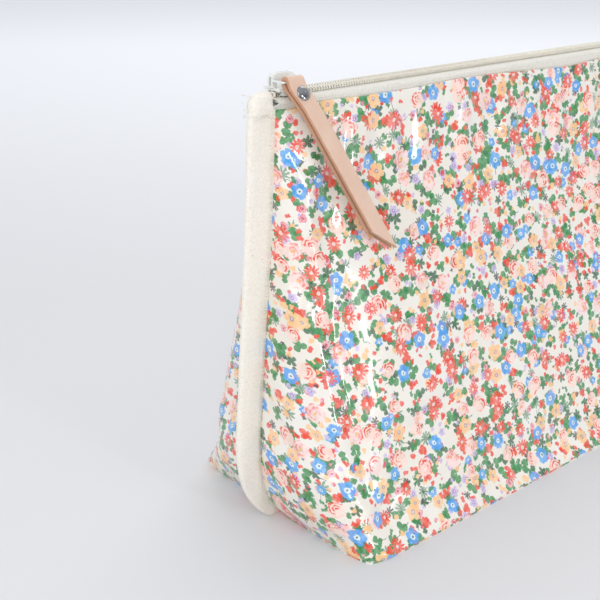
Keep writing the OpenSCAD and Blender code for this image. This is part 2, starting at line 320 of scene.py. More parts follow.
def add_node(tree: bpy.types.NodeTree, kind: str, settings: dict | None = None,
             inputs: dict | None = None) -> bpy.types.Node:
    """Adds one node with its settings and links.

    Args:
        tree: Node tree of the material.
        kind: Blender's name for the node.
        settings: Properties to set.
        inputs: Value or socket for each input, by name or number.

    Returns:
        The new node.
    """
    node = tree.nodes.new(kind)
    for name, value in (settings or {}).items():
        setattr(node, name, value)
    for name, value in (inputs or {}).items():
        value = value.socket if isinstance(value, Signal) else value
        if isinstance(value, bpy.types.NodeSocket):
            tree.links.new(value, node.inputs[name])
        else:
            node.inputs[name].default_value = value
    return node


class Signal:
    """A number that varies over a surface, with ordinary arithmetic on it."""

    def __init__(self, tree: bpy.types.NodeTree, socket: bpy.types.NodeSocket) -> None:
        """Keeps the socket that gives the number."""
        self.tree = tree
        self.socket = socket

    def calc(self, operation: str, *others: "Signal | float", clamp: bool = False) -> "Signal":
        """Result of one arithmetic operation with other numbers."""
        inputs = dict(enumerate((self,) + others))
        node = add_node(self.tree, "ShaderNodeMath", {"operation": operation, "use_clamp": clamp},
                        inputs)
        return Signal(self.tree, node.outputs[0])

    def __add__(self, other: "Signal | float") -> "Signal":
        """Sum."""
        return self.calc("ADD", other)

    def __sub__(self, other: "Signal | float") -> "Signal":
        """Difference."""
        return self.calc("SUBTRACT", other)

    def __mul__(self, other: "Signal | float") -> "Signal":
        """Product."""
        return self.calc("MULTIPLY", other)

    def __truediv__(self, other: "Signal | float") -> "Signal":
        """Ratio."""
        return self.calc("DIVIDE", other)

    def between(self, low: float, high: float) -> "Signal":
        """0 below low, 1 above high, and in proportion between them."""
        return ((self - low) * (1 / (high - low))).calc("ADD", 0.0, clamp=True)


class Surface:
    """A material in the making: its tree, its coordinates and its shader."""

    def __init__(self, name: str, **shader: float | tuple) -> None:
        """Starts a material with a Principled shader.

        Args:
            name: Name of the material and of how it was made.
            shader: Settings of the shader's sockets, spaces written as underscores.
        """
        self.material = bpy.data.materials.new(name)
        self.material.use_nodes = True
        self.tree = self.material.node_tree
        self.shader = self.tree.nodes["Principled BSDF"]
        for socket, value in shader.items():
            self.shader.inputs[socket.replace("_", " ")].default_value = value
        self.cloth = self.node("ShaderNodeUVMap", {"uv_map": "flat_cloth"}).outputs[0]
        place = self.node("ShaderNodeTexCoord").outputs["Object"]
        self.place = self.node("ShaderNodeVectorMath", {"operation": "SCALE"},
                               {0: place, "Scale": 1 / MM}).outputs[0]

    def node(self, kind: str, settings: dict | None = None,
             inputs: dict | None = None) -> bpy.types.Node:
        """Adds one node to this material."""
        return add_node(self.tree, kind, settings, inputs)

    def signal(self, socket: bpy.types.NodeSocket) -> Signal:
        """A socket as a number to calculate with."""
        return Signal(self.tree, socket)

    def noise(self, size: float, detail: float = 2.0, where: bpy.types.NodeSocket | None = None,
              shift: float = 0.0) -> Signal:
        """Cloudy variation with patches of a real size.

        Args:
            size: Size of a patch in mm.
            detail: Number of finer layers in it.
            where: Coordinates in mm, those of the object unless given.
            shift: Moves the pattern, so that two of one size differ.

        Returns:
            Numbers round 0.5.
        """
        where = self.place if where is None else where
        if shift:
            where = self.node("ShaderNodeVectorMath", {"operation": "ADD"},
                              {0: where, 1: (shift, 1.7 * shift, 0.6 * shift)}).outputs[0]
        node = self.node("ShaderNodeTexNoise", None,
                         {"Vector": where, "Scale": 1 / size, "Detail": detail})
        return self.signal(node.outputs[0])

    def mix(self, share: Signal | float, first: object, second: object) -> bpy.types.NodeSocket:
        """Colour that goes from the first to the second with share."""
        node = self.node("ShaderNodeMix", {"data_type": "RGBA"}, {0: share, 6: first, 7: second})
        return node.outputs[2]

    def relief(self, height: Signal, depth: float, strength: float = 1.0) -> None:
        """Raises the surface by a height pattern.

        Args:
            height: Pattern from 0 to 1.
            depth: Height that 1 stands for, in mm.
            strength: How much of it shows.
        """
        inputs = {"Height": height, "Distance": depth * MM, "Strength": strength}
        under = self.shader.inputs["Normal"]
        if under.is_linked:
            inputs["Normal"] = under.links[0].from_socket
        bump = self.node("ShaderNodeBump", None, inputs)
        self.tree.links.new(bump.outputs[0], under)

    def wear(self, socket: str, value: Signal | bpy.types.NodeSocket) -> None:
        """Links a varying value to one of the shader's sockets."""
        value = value.socket if isinstance(value, Signal) else value
        self.tree.links.new(value, self.shader.inputs[socket])

    def threads(self, where: bpy.types.NodeSocket, pitch_u: float, pitch_v: float) -> Signal:
        """Height of a plain weave.

        Args:
            where: Coordinates in mm on the cloth.
            pitch_u: Distance between threads along U.
            pitch_v: Distance between threads along V.

        Returns:
            Pattern from 0 to 1.
        """
        parts = self.node("ShaderNodeSeparateXYZ", None, {0: where})
        u = self.signal(parts.outputs[0]) * (2 * math.pi / pitch_u)
        v = self.signal(parts.outputs[1]) * (2 * math.pi / pitch_v)
        over = (u * 0.5).calc("SINE") * (v * 0.5).calc("SINE")
        return (u.calc("COSINE") + v.calc("COSINE")) * 0.15 + over * 0.25 + 0.5


# ---- finishes ----------------------------------------------------------------------------


@dataclass(frozen=True)
class Motif:
    """One small painted thing in the print, drawn round the middle of its patch.

    Attributes:
        share: Share of the layer's patches that it takes.
        radius: Its radius in mm.
        lobes: Petals or lobes round it.
        notch: How deep the gaps between them are, as a share of the radius.
        petal: Main colour.
        shade: Second colour, brushed over the first.
        heart: Colour of its middle.
        eye: Colour of the dot in the middle.
        heart_size: Radius of the middle, as a share of the radius.
        eye_size: Radius of the dot, as a share of the radius.
        strokes: How strongly round brush strokes show.
        half: How much paler one side of it is.
    """

    share: float
    radius: float = 0.0
    lobes: int = 1
    notch: float = 0.0
    petal: str = "#FFFFFF"
    shade: str = "#FFFFFF"
    heart: str = "#FFFFFF"
    eye: str = "#FFFFFF"
    heart_size: float = 0.0
    eye_size: float = 0.0
    strokes: float = 0.0
    half: float = 0.0


BLUE = dict(petal="#4A9EE8", shade="#79B9F0", heart="#E6F0F2", eye="#3F7C8C")
RED = dict(petal="#EA3408", shade="#EE7466", heart="#F7E6E2", eye="#D9B8B0")
CORAL = dict(petal="#E83E22", shade="#FBDDD2", heart="#F9B7A8", eye="#FDE9D8")
PEACH = dict(petal="#FBC488", shade="#F6D3A6", heart="#B795A4", eye="#EBDDE0")
BLUSH = dict(petal="#F0887E", shade="#FADEDA", heart="#F0BE66", eye="#E8A25A")
LILAC = dict(petal="#C7B2DE", shade="#DCCDEA", heart="#8D78B2", eye="#E5DAEE")
PLUM = dict(petal="#D9536C", shade="#F6C4CB", heart="#C73A56", eye="#F6D9DA")
GREEN = dict(petal="#238442", shade="#4FA263", heart="#238442", eye="#238442")
DARK_GREEN = dict(petal="#265F3A", shade="#457A56", heart="#2F6D44", eye="#2F6D44")
SAGE = dict(petal="#6C8F78", shade="#94B099", heart="#5B7565", eye="#5B7565")
INK = dict(petal="#3B4745", shade="#616F69", heart="#3B4745", eye="#3B4745")

FLOWERS = (
    Motif(0.17, 3.9, 5, 0.26, heart_size=0.34, eye_size=0.15, **BLUE),
    Motif(0.22, 4.0, 11, 0.60, heart_size=0.24, eye_size=0.10, half=0.75, **RED),
    Motif(0.13, 4.4, 6, 0.16, strokes=1.0, half=0.9, **CORAL),
    Motif(0.13, 3.8, 5, 0.34, heart_size=0.28, eye_size=0.14, half=0.3, **PEACH),
    Motif(0.12, 4.5, 7, 0.24, heart_size=0.20, strokes=0.6, half=0.8, **BLUSH),
)
SMALL_FLOWERS = (
    Motif(0.15, 2.4, 5, 0.34, heart_size=0.36, eye_size=0.2, **LILAC),
    Motif(0.13, 2.1, 3, 0.12, heart_size=0.30, strokes=1.0, **PLUM),
    Motif(0.20, 2.6, 3, 0.50, half=0.2, **RED),
    Motif(0.08, 2.0, 2, 0.25, **PEACH),
    Motif(0.08, 2.6, 5, 0.3, heart_size=0.3, eye_size=0.14, **BLUE),
)
LEAVES = (
    Motif(0.22, 3.2, 3, 0.62, **GREEN),
    Motif(0.22, 3.3, 2, 0.80, **GREEN),
    Motif(0.10, 3.0, 5, 0.66, **DARK_GREEN),
)
SPRIGS = (
    Motif(0.16, 3.4, 9, 0.86, **SAGE),
    Motif(0.16, 2.8, 2, 0.82, **DARK_GREEN),
    Motif(0.10, 2.4, 7, 0.86, **INK),
)
BUDS = (
    Motif(0.20, 1.5, 2, 0.45, **RED),
    Motif(0.08, 1.1, 1, 0.35, **PLUM),
    Motif(0.08, 1.4, 3, 0.30, **PEACH),
    Motif(0.12, 1.6, 2, 0.70, **GREEN),
    Motif(0.06, 1.2, 3, 0.30, **LILAC),
    Motif(0.05, 1.1, 4, 0.5, **INK),
)


@dataclass(frozen=True)
class PrintLayer:
    """One layer of the print: patches of one spacing, each with a motif.

    Attributes:
        motifs: What the patches hold; the shares left over stay empty.
        spacing: Distance between patches in mm.
        shift: Moves the layer, so that no two layers line up.
        stems: Whether a thin stem runs out from each motif.
        cover: How opaque the ink is.
    """

    motifs: tuple[Motif, ...]
    spacing: float
    shift: float
    stems: bool = False
    cover: float = 0.88

    def lookup(self, surface: Surface, pick: Signal, values: list[tuple]) -> bpy.types.Node:
        """Gives each patch the value of its own motif.

        Args:
            surface: The material in the making.
            pick: Random number of each patch.
            values: One colour or triple for each motif.

        Returns:
            The node whose colour output holds the value.
        """
        node = surface.node("ShaderNodeValToRGB", None, {0: pick})
        ramp = node.color_ramp
        ramp.interpolation = "CONSTANT"
        ramp.elements.remove(ramp.elements[1])
        start = 0.0
        for index, (motif, value) in enumerate(zip(self.motifs, values)):
            stop = ramp.elements[0] if index == 0 else ramp.elements.new(start)
            stop.color = value
            start += motif.share
        if start < 0.999:
            ramp.elements.new(start).color = (0, 0, 0, 1)
        return node

    def draw(self, surface: Surface, cloth: bpy.types.NodeSocket, brush: Signal,
             under: object) -> bpy.types.NodeSocket:
        """Paints the layer over what is there.

        Args:
            surface: The material in the making.
            cloth: Coordinates on the cloth in mm, with painterly wobble.
            brush: Cloudy variation of the paint.
            under: Colour under this layer.

        Returns:
            Colour with this layer on it.
        """
        moved = surface.node("ShaderNodeVectorMath", {"operation": "ADD"},
                             {0: cloth, 1: (self.shift, 0.63 * self.shift, 0)}).outputs[0]
        patch = surface.node("ShaderNodeTexVoronoi", {"voronoi_dimensions": "2D"},
                             {"Vector": moved, "Scale": 1 / self.spacing, "Randomness": 0.82})
        offset = surface.node("ShaderNodeVectorMath", {"operation": "SUBTRACT"},
                              {0: moved, 1: patch.outputs["Position"]}).outputs[0]
        luck = surface.node("ShaderNodeSeparateColor", None, {0: patch.outputs["Color"]})
        pick, spin, scale = (surface.signal(luck.outputs[k]) for k in range(3))
        across = surface.node("ShaderNodeSeparateXYZ", None, {0: offset})
        x, y = surface.signal(across.outputs[0]), surface.signal(across.outputs[1])
        reach = (x * x + y * y).calc("SQRT")
        angle = y.calc("ARCTAN2", x) + spin * (2 * math.pi)
        shape = self.lookup(surface, pick, [(m.radius / 10, m.notch, m.lobes / 20, 1)
                                            for m in self.motifs])
        middle = self.lookup(surface, pick, [(m.heart_size, m.eye_size, m.strokes, 1)
                                             for m in self.motifs])
        side = self.lookup(surface, pick, [(m.half,) * 3 + (1,) for m in self.motifs])
        colours = [self.lookup(surface, pick, [linear(getattr(m, part)) for m in self.motifs])
                   for part in ("petal", "shade", "heart", "eye")]
        shape = surface.node("ShaderNodeSeparateColor", None, {0: shape.outputs[0]})
        middle = surface.node("ShaderNodeSeparateColor", None, {0: middle.outputs[0]})
        radius, notch, lobes = (surface.signal(shape.outputs[k]) for k in range(3))
        heart, eye, strokes = (surface.signal(middle.outputs[k]) for k in range(3))
        radius = radius * (scale * 3.0 + 8.5)
        lobe = (angle * lobes * 10.0).calc("COSINE").calc("ABSOLUTE").calc("POWER", 0.75)
        edge = radius * ((lobe - 1.0) * notch + 1.0)
        inside = ((edge - reach) * 4.5).calc("ADD", 0.0, clamp=True)
        share = reach / (radius + 0.001)
        rings = (share * 17.0 + angle * 2.0 + brush * 7.0).calc("SINE")
        pale = ((angle - spin * 3.0).calc("COSINE") + brush * 2.4 - 1.2).between(-0.3, 0.5)
        tint = (brush.between(0.44, 0.64) * 0.8 + rings.between(0.0, 0.4) * strokes
                + pale * surface.signal(side.outputs[0]))
        tint = tint.calc("ADD", 0.0, clamp=True)
        paint = surface.mix(tint, colours[0].outputs[0], colours[1].outputs[0])
        paint = surface.mix(((heart - share) * 14.0).calc("ADD", 0.0, clamp=True), paint,
                            colours[2].outputs[0])
        paint = surface.mix(((eye - share) * 16.0).calc("ADD", 0.0, clamp=True), paint,
                            colours[3].outputs[0])
        if self.stems:
            ahead = reach * angle.calc("COSINE")
            aside = reach * angle.calc("SINE") - ahead * ahead * 0.09
            line = (aside.calc("ABSOLUTE") * -5.0 + 1.35).calc("ADD", 0.0, clamp=True)
            line = line * ahead.between(0.0, 0.3) * (radius * 1.9 - ahead).between(0.0, 0.5)
            under = surface.mix(line * 0.9, under, linear("#405348"))
        return surface.mix(inside * self.cover, under, paint)


@dataclass(frozen=True)
class LaminatedCotton:
    """Cotton poplin, pigment printed with small flowers, under a clear calendered film.

    The film gives sharp white glints wherever the cloth dents, over matt painterly colour.
    """

    ground: str = "#EEEBE4"
    thread_pitch: float = 0.42
    layers: tuple[PrintLayer, ...] = (
        PrintLayer(SPRIGS, 7.8, 11.3, stems=True),
        PrintLayer(LEAVES, 7.9, 37.9, stems=True),
        PrintLayer(BUDS, 5.3, 83.1),
        PrintLayer(LEAVES, 8.8, 151.7, stems=True),
        PrintLayer(SMALL_FLOWERS, 8.6, 61.9),
        PrintLayer(BUDS, 5.9, 233.3),
        PrintLayer(FLOWERS, 13.6, 7.7),
        PrintLayer(FLOWERS, 14.2, 119.1),
    )

    def material(self) -> bpy.types.Material:
        """Makes the material."""
        surface = Surface("laminated_cotton_printed", Roughness=0.34, IOR=1.5, Coat_Weight=0.75,
                          Coat_Roughness=0.07, Coat_IOR=1.5)
        wobble = surface.node("ShaderNodeTexNoise", None,
                              {"Vector": surface.cloth, "Scale": 1 / 1.7, "Detail": 2.5,
                               "Roughness": 0.65})
        shake = surface.node("ShaderNodeVectorMath", {"operation": "MULTIPLY_ADD"},
                             {0: wobble.outputs["Color"], 1: (1.9, 1.9, 0), 2: surface.cloth})
        brush = surface.noise(2.6, 2.0, surface.cloth, 5.0)
        patches = surface.noise(60.0, 1.0, surface.cloth).between(0.3, 0.7)
        colour = surface.mix(patches, linear(self.ground), linear("#EBE5DA"))
        for layer in self.layers:
            colour = layer.draw(surface, shake.outputs[0], brush, colour)
        surface.wear("Base Color", colour)
        # the weave is pressed nearly flat under the film
        weave = surface.threads(surface.cloth, self.thread_pitch * 2, self.thread_pitch * 2)
        surface.relief(weave, 0.02, 0.5)
        surface.relief(surface.noise(4.0, 2.0, surface.cloth), 0.10, 0.8)
        surface.relief(surface.noise(11.0, 1.0, surface.cloth, 9.0), 0.30, 0.8)
        return surface.material


@dataclass(frozen=True)
class WovenCloth:
    """Plain undyed cotton or polyester, woven: matt, with its threads and flecks showing, and
    painted shade in the hollows of its weave.

    Attributes:
        name: Name of the material.
        colour: Main colour.
        shade: Colour painted into the hollows of the weave and the dips of its slubs as painted
            shade, and into slightly darker patches.
        pitch_u: Distance between threads along the cloth.
        pitch_v: Distance between threads across it.
        depth: Height of the threads, in mm.
        flecks: How many dark flecks of husk show.
    """

    name: str
    colour: str
    shade: str
    pitch_u: float
    pitch_v: float
    depth: float = 0.08
    flecks: float = 0.0

    def material(self) -> bpy.types.Material:
        """Makes the material."""
        surface = Surface(self.name, Roughness=0.86, IOR=1.5, Sheen_Weight=0.12,
                          Sheen_Roughness=0.5)
        weave = surface.threads(surface.cloth, self.pitch_u * 2, self.pitch_v * 2)
        slub = surface.noise(1.4, 3.0, surface.cloth)
        patches = surface.noise(14.0, 2.0, surface.cloth, 3.0).between(0.25, 0.75)
        # painted shade: darker where the weave and its slubs sink, mixed with random darker patches
        dark = (weave.between(0.62, 0.25) * 0.35 + slub.between(0.62, 0.35) * 0.45
                + patches * 0.2)
        colour = surface.mix(dark, linear(self.colour), linear(self.shade))
        if self.flecks:
            husk = surface.noise(0.9, 1.0, surface.cloth, 17.0).between(0.75, 0.79) * self.flecks
            colour = surface.mix(husk, colour, linear("#8D6A45"))
        surface.wear("Base Color", colour)
        surface.relief(weave, self.depth)
        surface.relief(slub, self.depth * 1.4)
        return surface.material


@dataclass(frozen=True)
class NylonCoil:
    """Nylon monofilament, extruded and wound: ivory, waxy, half glossy."""

    colour: str = "#F0EDE3"

    def material(self) -> bpy.types.Material:
        """Makes the material."""
        surface = Surface("nylon_coil_wound", Roughness=0.38, IOR=1.53,
                          Subsurface_Weight=0.15, Subsurface_Scale=0.6 * MM)
        patches = surface.noise(3.0, 3.0)
        surface.wear("Base Color", surface.mix(patches.between(0.35, 0.7), linear(self.colour),
                                               linear("#E3DFD3")))
        surface.relief(surface.noise(0.5, 2.0), 0.03)
        return surface.material


@dataclass(frozen=True)
class Enamel:
    """Baked white enamel on die-cast zinc: thick and glossy, faintly rippled, chipped grey."""

    colour: str = "#E9EDE7"

    def material(self) -> bpy.types.Material:
        """Makes the material."""
        surface = Surface("white_enamel_baked", Roughness=0.22, IOR=1.5, Coat_Weight=0.6,
                          Coat_Roughness=0.06)
        flow = surface.noise(1.6, 2.0)
        grime = surface.noise(0.7, 3.0, None, 4.0).between(0.62, 0.76)
        colour = surface.mix(flow.between(0.3, 0.7), linear(self.colour), linear("#E6E8E4"))
        surface.wear("Base Color", surface.mix(grime * 0.35, colour, linear("#B9BAB4")))
        surface.relief(flow, 0.05)
        return surface.material


@dataclass(frozen=True)
class PlatedMetal:
    """Bright nickel or spring steel: mirror-like, with fine rub marks.

    Attributes:
        name: Name of the material.
        colour: Colour of the metal, darker than its own for the nickel, as a painted reflection of a
            dark room.
        roughness: Typical roughness of its surface.
    """

    name: str
    colour: str
    roughness: float

    def material(self) -> bpy.types.Material:
        """Makes the material."""
        surface = Surface(self.name, Metallic=1.0, Roughness=self.roughness)
        rub = surface.noise(0.6, 4.0)
        surface.wear("Base Color", surface.mix(rub.between(0.35, 0.75), linear(self.colour),
                                               linear("#A7A9AB")))
        surface.wear("Roughness", rub * 0.10 + (self.roughness - 0.04))
        surface.relief(rub, 0.006)
        return surface.material


class LeatherFace(Enum):
    """The three surfaces of a strip of vegetable-tanned leather: colour, shade and roughness."""

    GRAIN = ("#DFC0AC", "#D5B09A", 0.50)
    CUT_EDGE = ("#D3A384", "#BC8768", 0.78)
    FLESH = ("#D2A88C", "#BE8F72", 0.88)


@dataclass(frozen=True)
class Leather:
    """Undyed vegetable-tanned cowhide: pinkish tan, fine pores on the grain, fibres inside."""

    face: LeatherFace

    def material(self) -> bpy.types.Material:
        """Makes the material."""
        colour, shade, roughness = self.face.value
        surface = Surface(f"leather_{self.face.name.lower()}_tanned", Roughness=roughness,
                          IOR=1.48, Sheen_Weight=0.08)
        cloud = surface.noise(9.0, 3.0)
        pores = surface.noise(0.55, 3.0, None, 2.0)
        dark = cloud.between(0.3, 0.75) * 0.6 + pores.between(0.55, 0.75) * 0.35
        surface.wear("Base Color", surface.mix(dark, linear(colour), linear(shade)))
        surface.wear("Roughness", pores * 0.2 + (roughness - 0.1))
        grain = surface.node("ShaderNodeTexVoronoi", {"feature": "DISTANCE_TO_EDGE"},
                             {"Vector": surface.place, "Scale": 1 / 0.7})
        surface.relief(surface.signal(grain.outputs["Distance"]).between(0.0, 0.35), 0.035)
        rough = 0.05 if self.face is LeatherFace.GRAIN else 0.22
        surface.relief(pores, rough)
        return surface.material


@dataclass(frozen=True)
class PaleBoard:
    """Matt painted board of the floor: pale cool grey, evenly lit, with painted light that makes its
    colour lighter towards the back.
    """

    def material(self) -> bpy.types.Material:
        """Makes the material."""
        surface = Surface("pale_board_painted", Roughness=0.62, IOR=1.45)
        parts = surface.node("ShaderNodeSeparateXYZ", None, {0: surface.place})
        # painted light: the colour grows lighter with distance towards the back
        depth = (surface.signal(parts.outputs[0]) * 0.65
                 + surface.signal(parts.outputs[1]) * 0.76).between(200.0, 1500.0)
        surface.wear("Base Color", surface.mix(depth, linear("#DADBDD"), linear("#F9FBFE")))
        surface.relief(surface.noise(1.2, 3.0), 0.02)
        return surface.material


@dataclass
class Finishes:
    """Every material of the bag, made once."""

    print_cloth: bpy.types.Material = field(default_factory=lambda: LaminatedCotton().material())
    lining: bpy.types.Material = field(default_factory=lambda: WovenCloth(
        "lining_cotton_plain_woven", "#EDE7DA", "#DDD5C4", 0.40, 0.40, 0.05, 0.3).material())
    binding: bpy.types.Material = field(default_factory=lambda: WovenCloth(
        "binding_cotton_canvas_woven", "#F4F0E8", "#E6DFD2", 0.46, 0.40, 0.09, 0.8).material())
    tape: bpy.types.Material = field(default_factory=lambda: WovenCloth(
        "zip_tape_polyester_woven", "#E6E3DB", "#D2CEC3", 0.40, 0.60, 0.07).material())
    thread: bpy.types.Material = field(default_factory=lambda: WovenCloth(
        "sewing_thread_twisted", "#F6F1E5", "#E2DAC8", 0.4, 0.4, 0.04).material())
    coil: bpy.types.Material = field(default_factory=lambda: NylonCoil().material())
    enamel: bpy.types.Material = field(default_factory=lambda: Enamel().material())
    steel: bpy.types.Material = field(default_factory=lambda: PlatedMetal(
        "spring_steel_rolled", "#B9BCBE", 0.30).material())
    # the nickel's colour is darker than the metal's own: a painted reflection of a dark room
    nickel: bpy.types.Material = field(default_factory=lambda: PlatedMetal(
        "nickel_bright_plated", "#8F9193", 0.10).material())
    leather: list[bpy.types.Material] = field(
        default_factory=lambda: [Leather(face).material() for face in LeatherFace])


# ---- form of the bag ---------------------------------------------------------------------


@dataclass
class BagForm:
    """Sizes of the bag in mm, most of them read from the frame, and its curves.

    Attributes:
        base_length: Length of the base between the box seams.
        base_depth: Depth of the base.
        heights: Height of each wall's top edge.
        mouth_half: Distance from the zip's centre line to a wall's top edge.
        half_mouth: Half length of the wall stretch that swings.
        foot: Height at which the walls start.
        seam_reach: Distance from the centre to the seam where it bulges most.
        seam_top: The same at the top.
        binding_w: Finished width of the binding.
        bulge_z: Height at which the seam reaches out furthest.
    """

    base_length: float
    base_depth: float
    heights: dict[Side, float]
    mouth_half: float
    half_mouth: float
    foot: float
    seam_reach: float
    seam_top: float
    binding_w: float = 12.6
    bulge_z: float = 45.0

    @classmethod
    def from_frame(cls) -> "BagForm":
        """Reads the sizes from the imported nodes."""
        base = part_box("base_panel")[1] / MM
        back_low, back_high = (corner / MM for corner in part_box("back_panel"))
        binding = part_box("right_binding")[1].x / MM
        return cls(
            base_length=2 * base.x,
            base_depth=2 * base.y + 1,
            heights={Side.FRONT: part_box("front_panel")[1].z / MM, Side.BACK: back_high.z},
            mouth_half=back_low.y + base.z,
            half_mouth=back_high.x,
            foot=base.z,
            seam_reach=binding - cls.binding_w,
            seam_top=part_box("right_zip_stop")[0].x / MM,
        )

    def lean(self, side: Side) -> float:
        """How far a wall leans in for each mm of height."""
        return (self.base_depth / 2 - self.mouth_half) / self.heights[side]

    def seam_x(self, z: np.ndarray) -> np.ndarray:
        """Distance from the centre to the bound seam at a height."""
        z = np.asarray(z, float)
        above = np.clip(1 - (z - self.bulge_z) / 150, 0, None) ** 1.3
        below = np.clip(1 - z / self.bulge_z, 0, None) ** 3.5
        return np.where(z > self.bulge_z,
                        self.seam_top + (self.seam_reach - self.seam_top) * above,
                        self.seam_reach - (self.seam_reach - self.base_length / 2) * below)

    def fin_w(self, z: np.ndarray) -> np.ndarray:
        """Width of the binding at a height."""
        return self.binding_w - 6.2 * np.clip(1 - np.asarray(z, float) / self.bulge_z, 0, None) ** 2

    def top_edge(self, x: np.ndarray, side: Side) -> np.ndarray:
        """Height of a wall's top edge: it dips towards the ends and waves a little."""
        dip = 2.6 * np.clip((np.abs(x) - 100) / 28, 0, 1) ** 2
        stops = np.array([-120, -90, -60, -30, 0, 27, 55, 82, 118]) * (-side.value)
        sags = np.array([0, -1.3, -1.4, -0.6, -1.2, -2.2, -3.2, -2.0, 0])
        order = np.argsort(stops)
        line = smooth_line(list(zip(stops[order].astype(float), sags[order])), 240)
        return self.heights[side] - dip + np.interp(x, line[:, 0], line[:, 1])

    def plan(self, side: Side, z: float, inset: float, count: int) -> tuple[np.ndarray, float]:
        """Half of a wall's plan at a height, from the centre to the seam.

        Args:
            side: Front or back.
            z: Height.
            inset: Distance in from the bag's outer face.
            count: Number of points wanted.

        Returns:
            Points (x, y) at even distances, with y positive, and their whole length.
        """
        level = (z - self.foot) / (self.heights[side] - self.foot)
        t = np.linspace(0, 1, 600)
        turn = math.pi / 2 * t ** 5 / (t ** 5 + (1 - t) ** 5)
        power = 2 / (2.5 + 7.5 * math.exp(-z / 35))
        corner = self.base_length / 2 + (self.seam_top - self.base_length / 2) * level - inset
        bulge = float(self.seam_x(z)) - inset - corner
        across = np.clip(np.cos(turn), 0, 1) ** power
        x0 = self.half_mouth + 0.5
        x = x0 + (corner - x0) * np.sin(turn) ** power + bulge * (1 - across ** 1.5)
        half_depth = self.base_depth / 2 - self.lean(side) * z - inset
        y = 1.7 + (half_depth - 1.7) * across
        line = np.vstack([[0, y[0]], np.stack([x, y], 1)])
        length = float(np.linalg.norm(np.diff(line, axis=0), axis=1).sum())
        return even_line(line, count), length

    def wall(self, side: Side, inset: float, half_cols: int,
             rows: int) -> tuple[np.ndarray, np.ndarray]:
        """Lofts a wall from the left seam to the right one.

        Args:
            side: Front or back.
            inset: Distance in from the bag's outer face.
            half_cols: Number of columns on each side of the middle.
            rows: Number of rows from the foot to the top edge.

        Returns:
            Grid of places (column, row, 3), and the same grid on the flat cloth.
        """
        height = self.heights[side]
        places, flat = [], []
        for level in np.linspace(0, 1, rows):
            z = self.foot + level * (height - self.foot)
            half, length = self.plan(side, z, inset, half_cols + 1)
            x = np.concatenate([-half[:0:-1, 0], half[:, 0]])
            y = np.concatenate([half[:0:-1, 1], half[:, 1]]) * side.value
            top = self.top_edge(x, side) - inset * 0.3
            lift = self.foot + level * (top - self.foot)
            places.append(np.stack([x, y, lift], 1))
            u = np.linspace(-length, length, 2 * half_cols + 1)
            slope = math.hypot(1, self.lean(side)) * z
            flat.append(np.stack([u, np.full_like(u, slope)], 1))
        return np.stack(places, 1), np.stack(flat, 1)


@dataclass(frozen=True)
class Dent:
    """A soft crease pressed into a wall.

    Attributes:
        x: Middle of the crease along the bag.
        z: Height of its middle.
        length: Its length.
        width: Its width.
        tilt: Angle from level, in degrees.
        depth: How deep it goes in.
    """

    x: float
    z: float
    length: float
    width: float
    tilt: float
    depth: float

    def press(self, x: np.ndarray, z: np.ndarray) -> np.ndarray:
        """Depth of the crease at each point."""
        c, s = math.cos(math.radians(self.tilt)), math.sin(math.radians(self.tilt))
        along = (x - self.x) * c + (z - self.z) * s
        aside = (z - self.z) * c - (x - self.x) * s
        return 1.3 * self.depth * np.exp(-(along / self.length) ** 2 - (aside / self.width) ** 2)


DENTS = {
    Side.FRONT: (
        Dent(-104, 44, 30, 7, -4, 2.6), Dent(-60, 52, 34, 9, 8, 1.8),
        Dent(-112, 20, 16, 5, 30, 1.6), Dent(-96, 26, 14, 4, -38, 1.5),
        Dent(-118, 150, 9, 6, 65, 1.8), Dent(-92, 160, 14, 7, 55, 1.4),
        Dent(30, 120, 42, 16, -12, 1.8), Dent(88, 70, 40, 12, 18, 1.9),
        Dent(-20, 165, 50, 9, 3, 1.2), Dent(70, 150, 30, 9, 40, 1.4),
    ),
    Side.BACK: (
        Dent(-90, 60, 36, 10, 12, 2.2), Dent(10, 90, 50, 14, -10, 2.0),
        Dent(96, 40, 30, 8, -20, 2.0), Dent(60, 150, 40, 10, 8, 1.5),
        Dent(-60, 150, 36, 11, -30, 1.6), Dent(-112, 24, 18, 6, 32, 1.6),
    ),
}


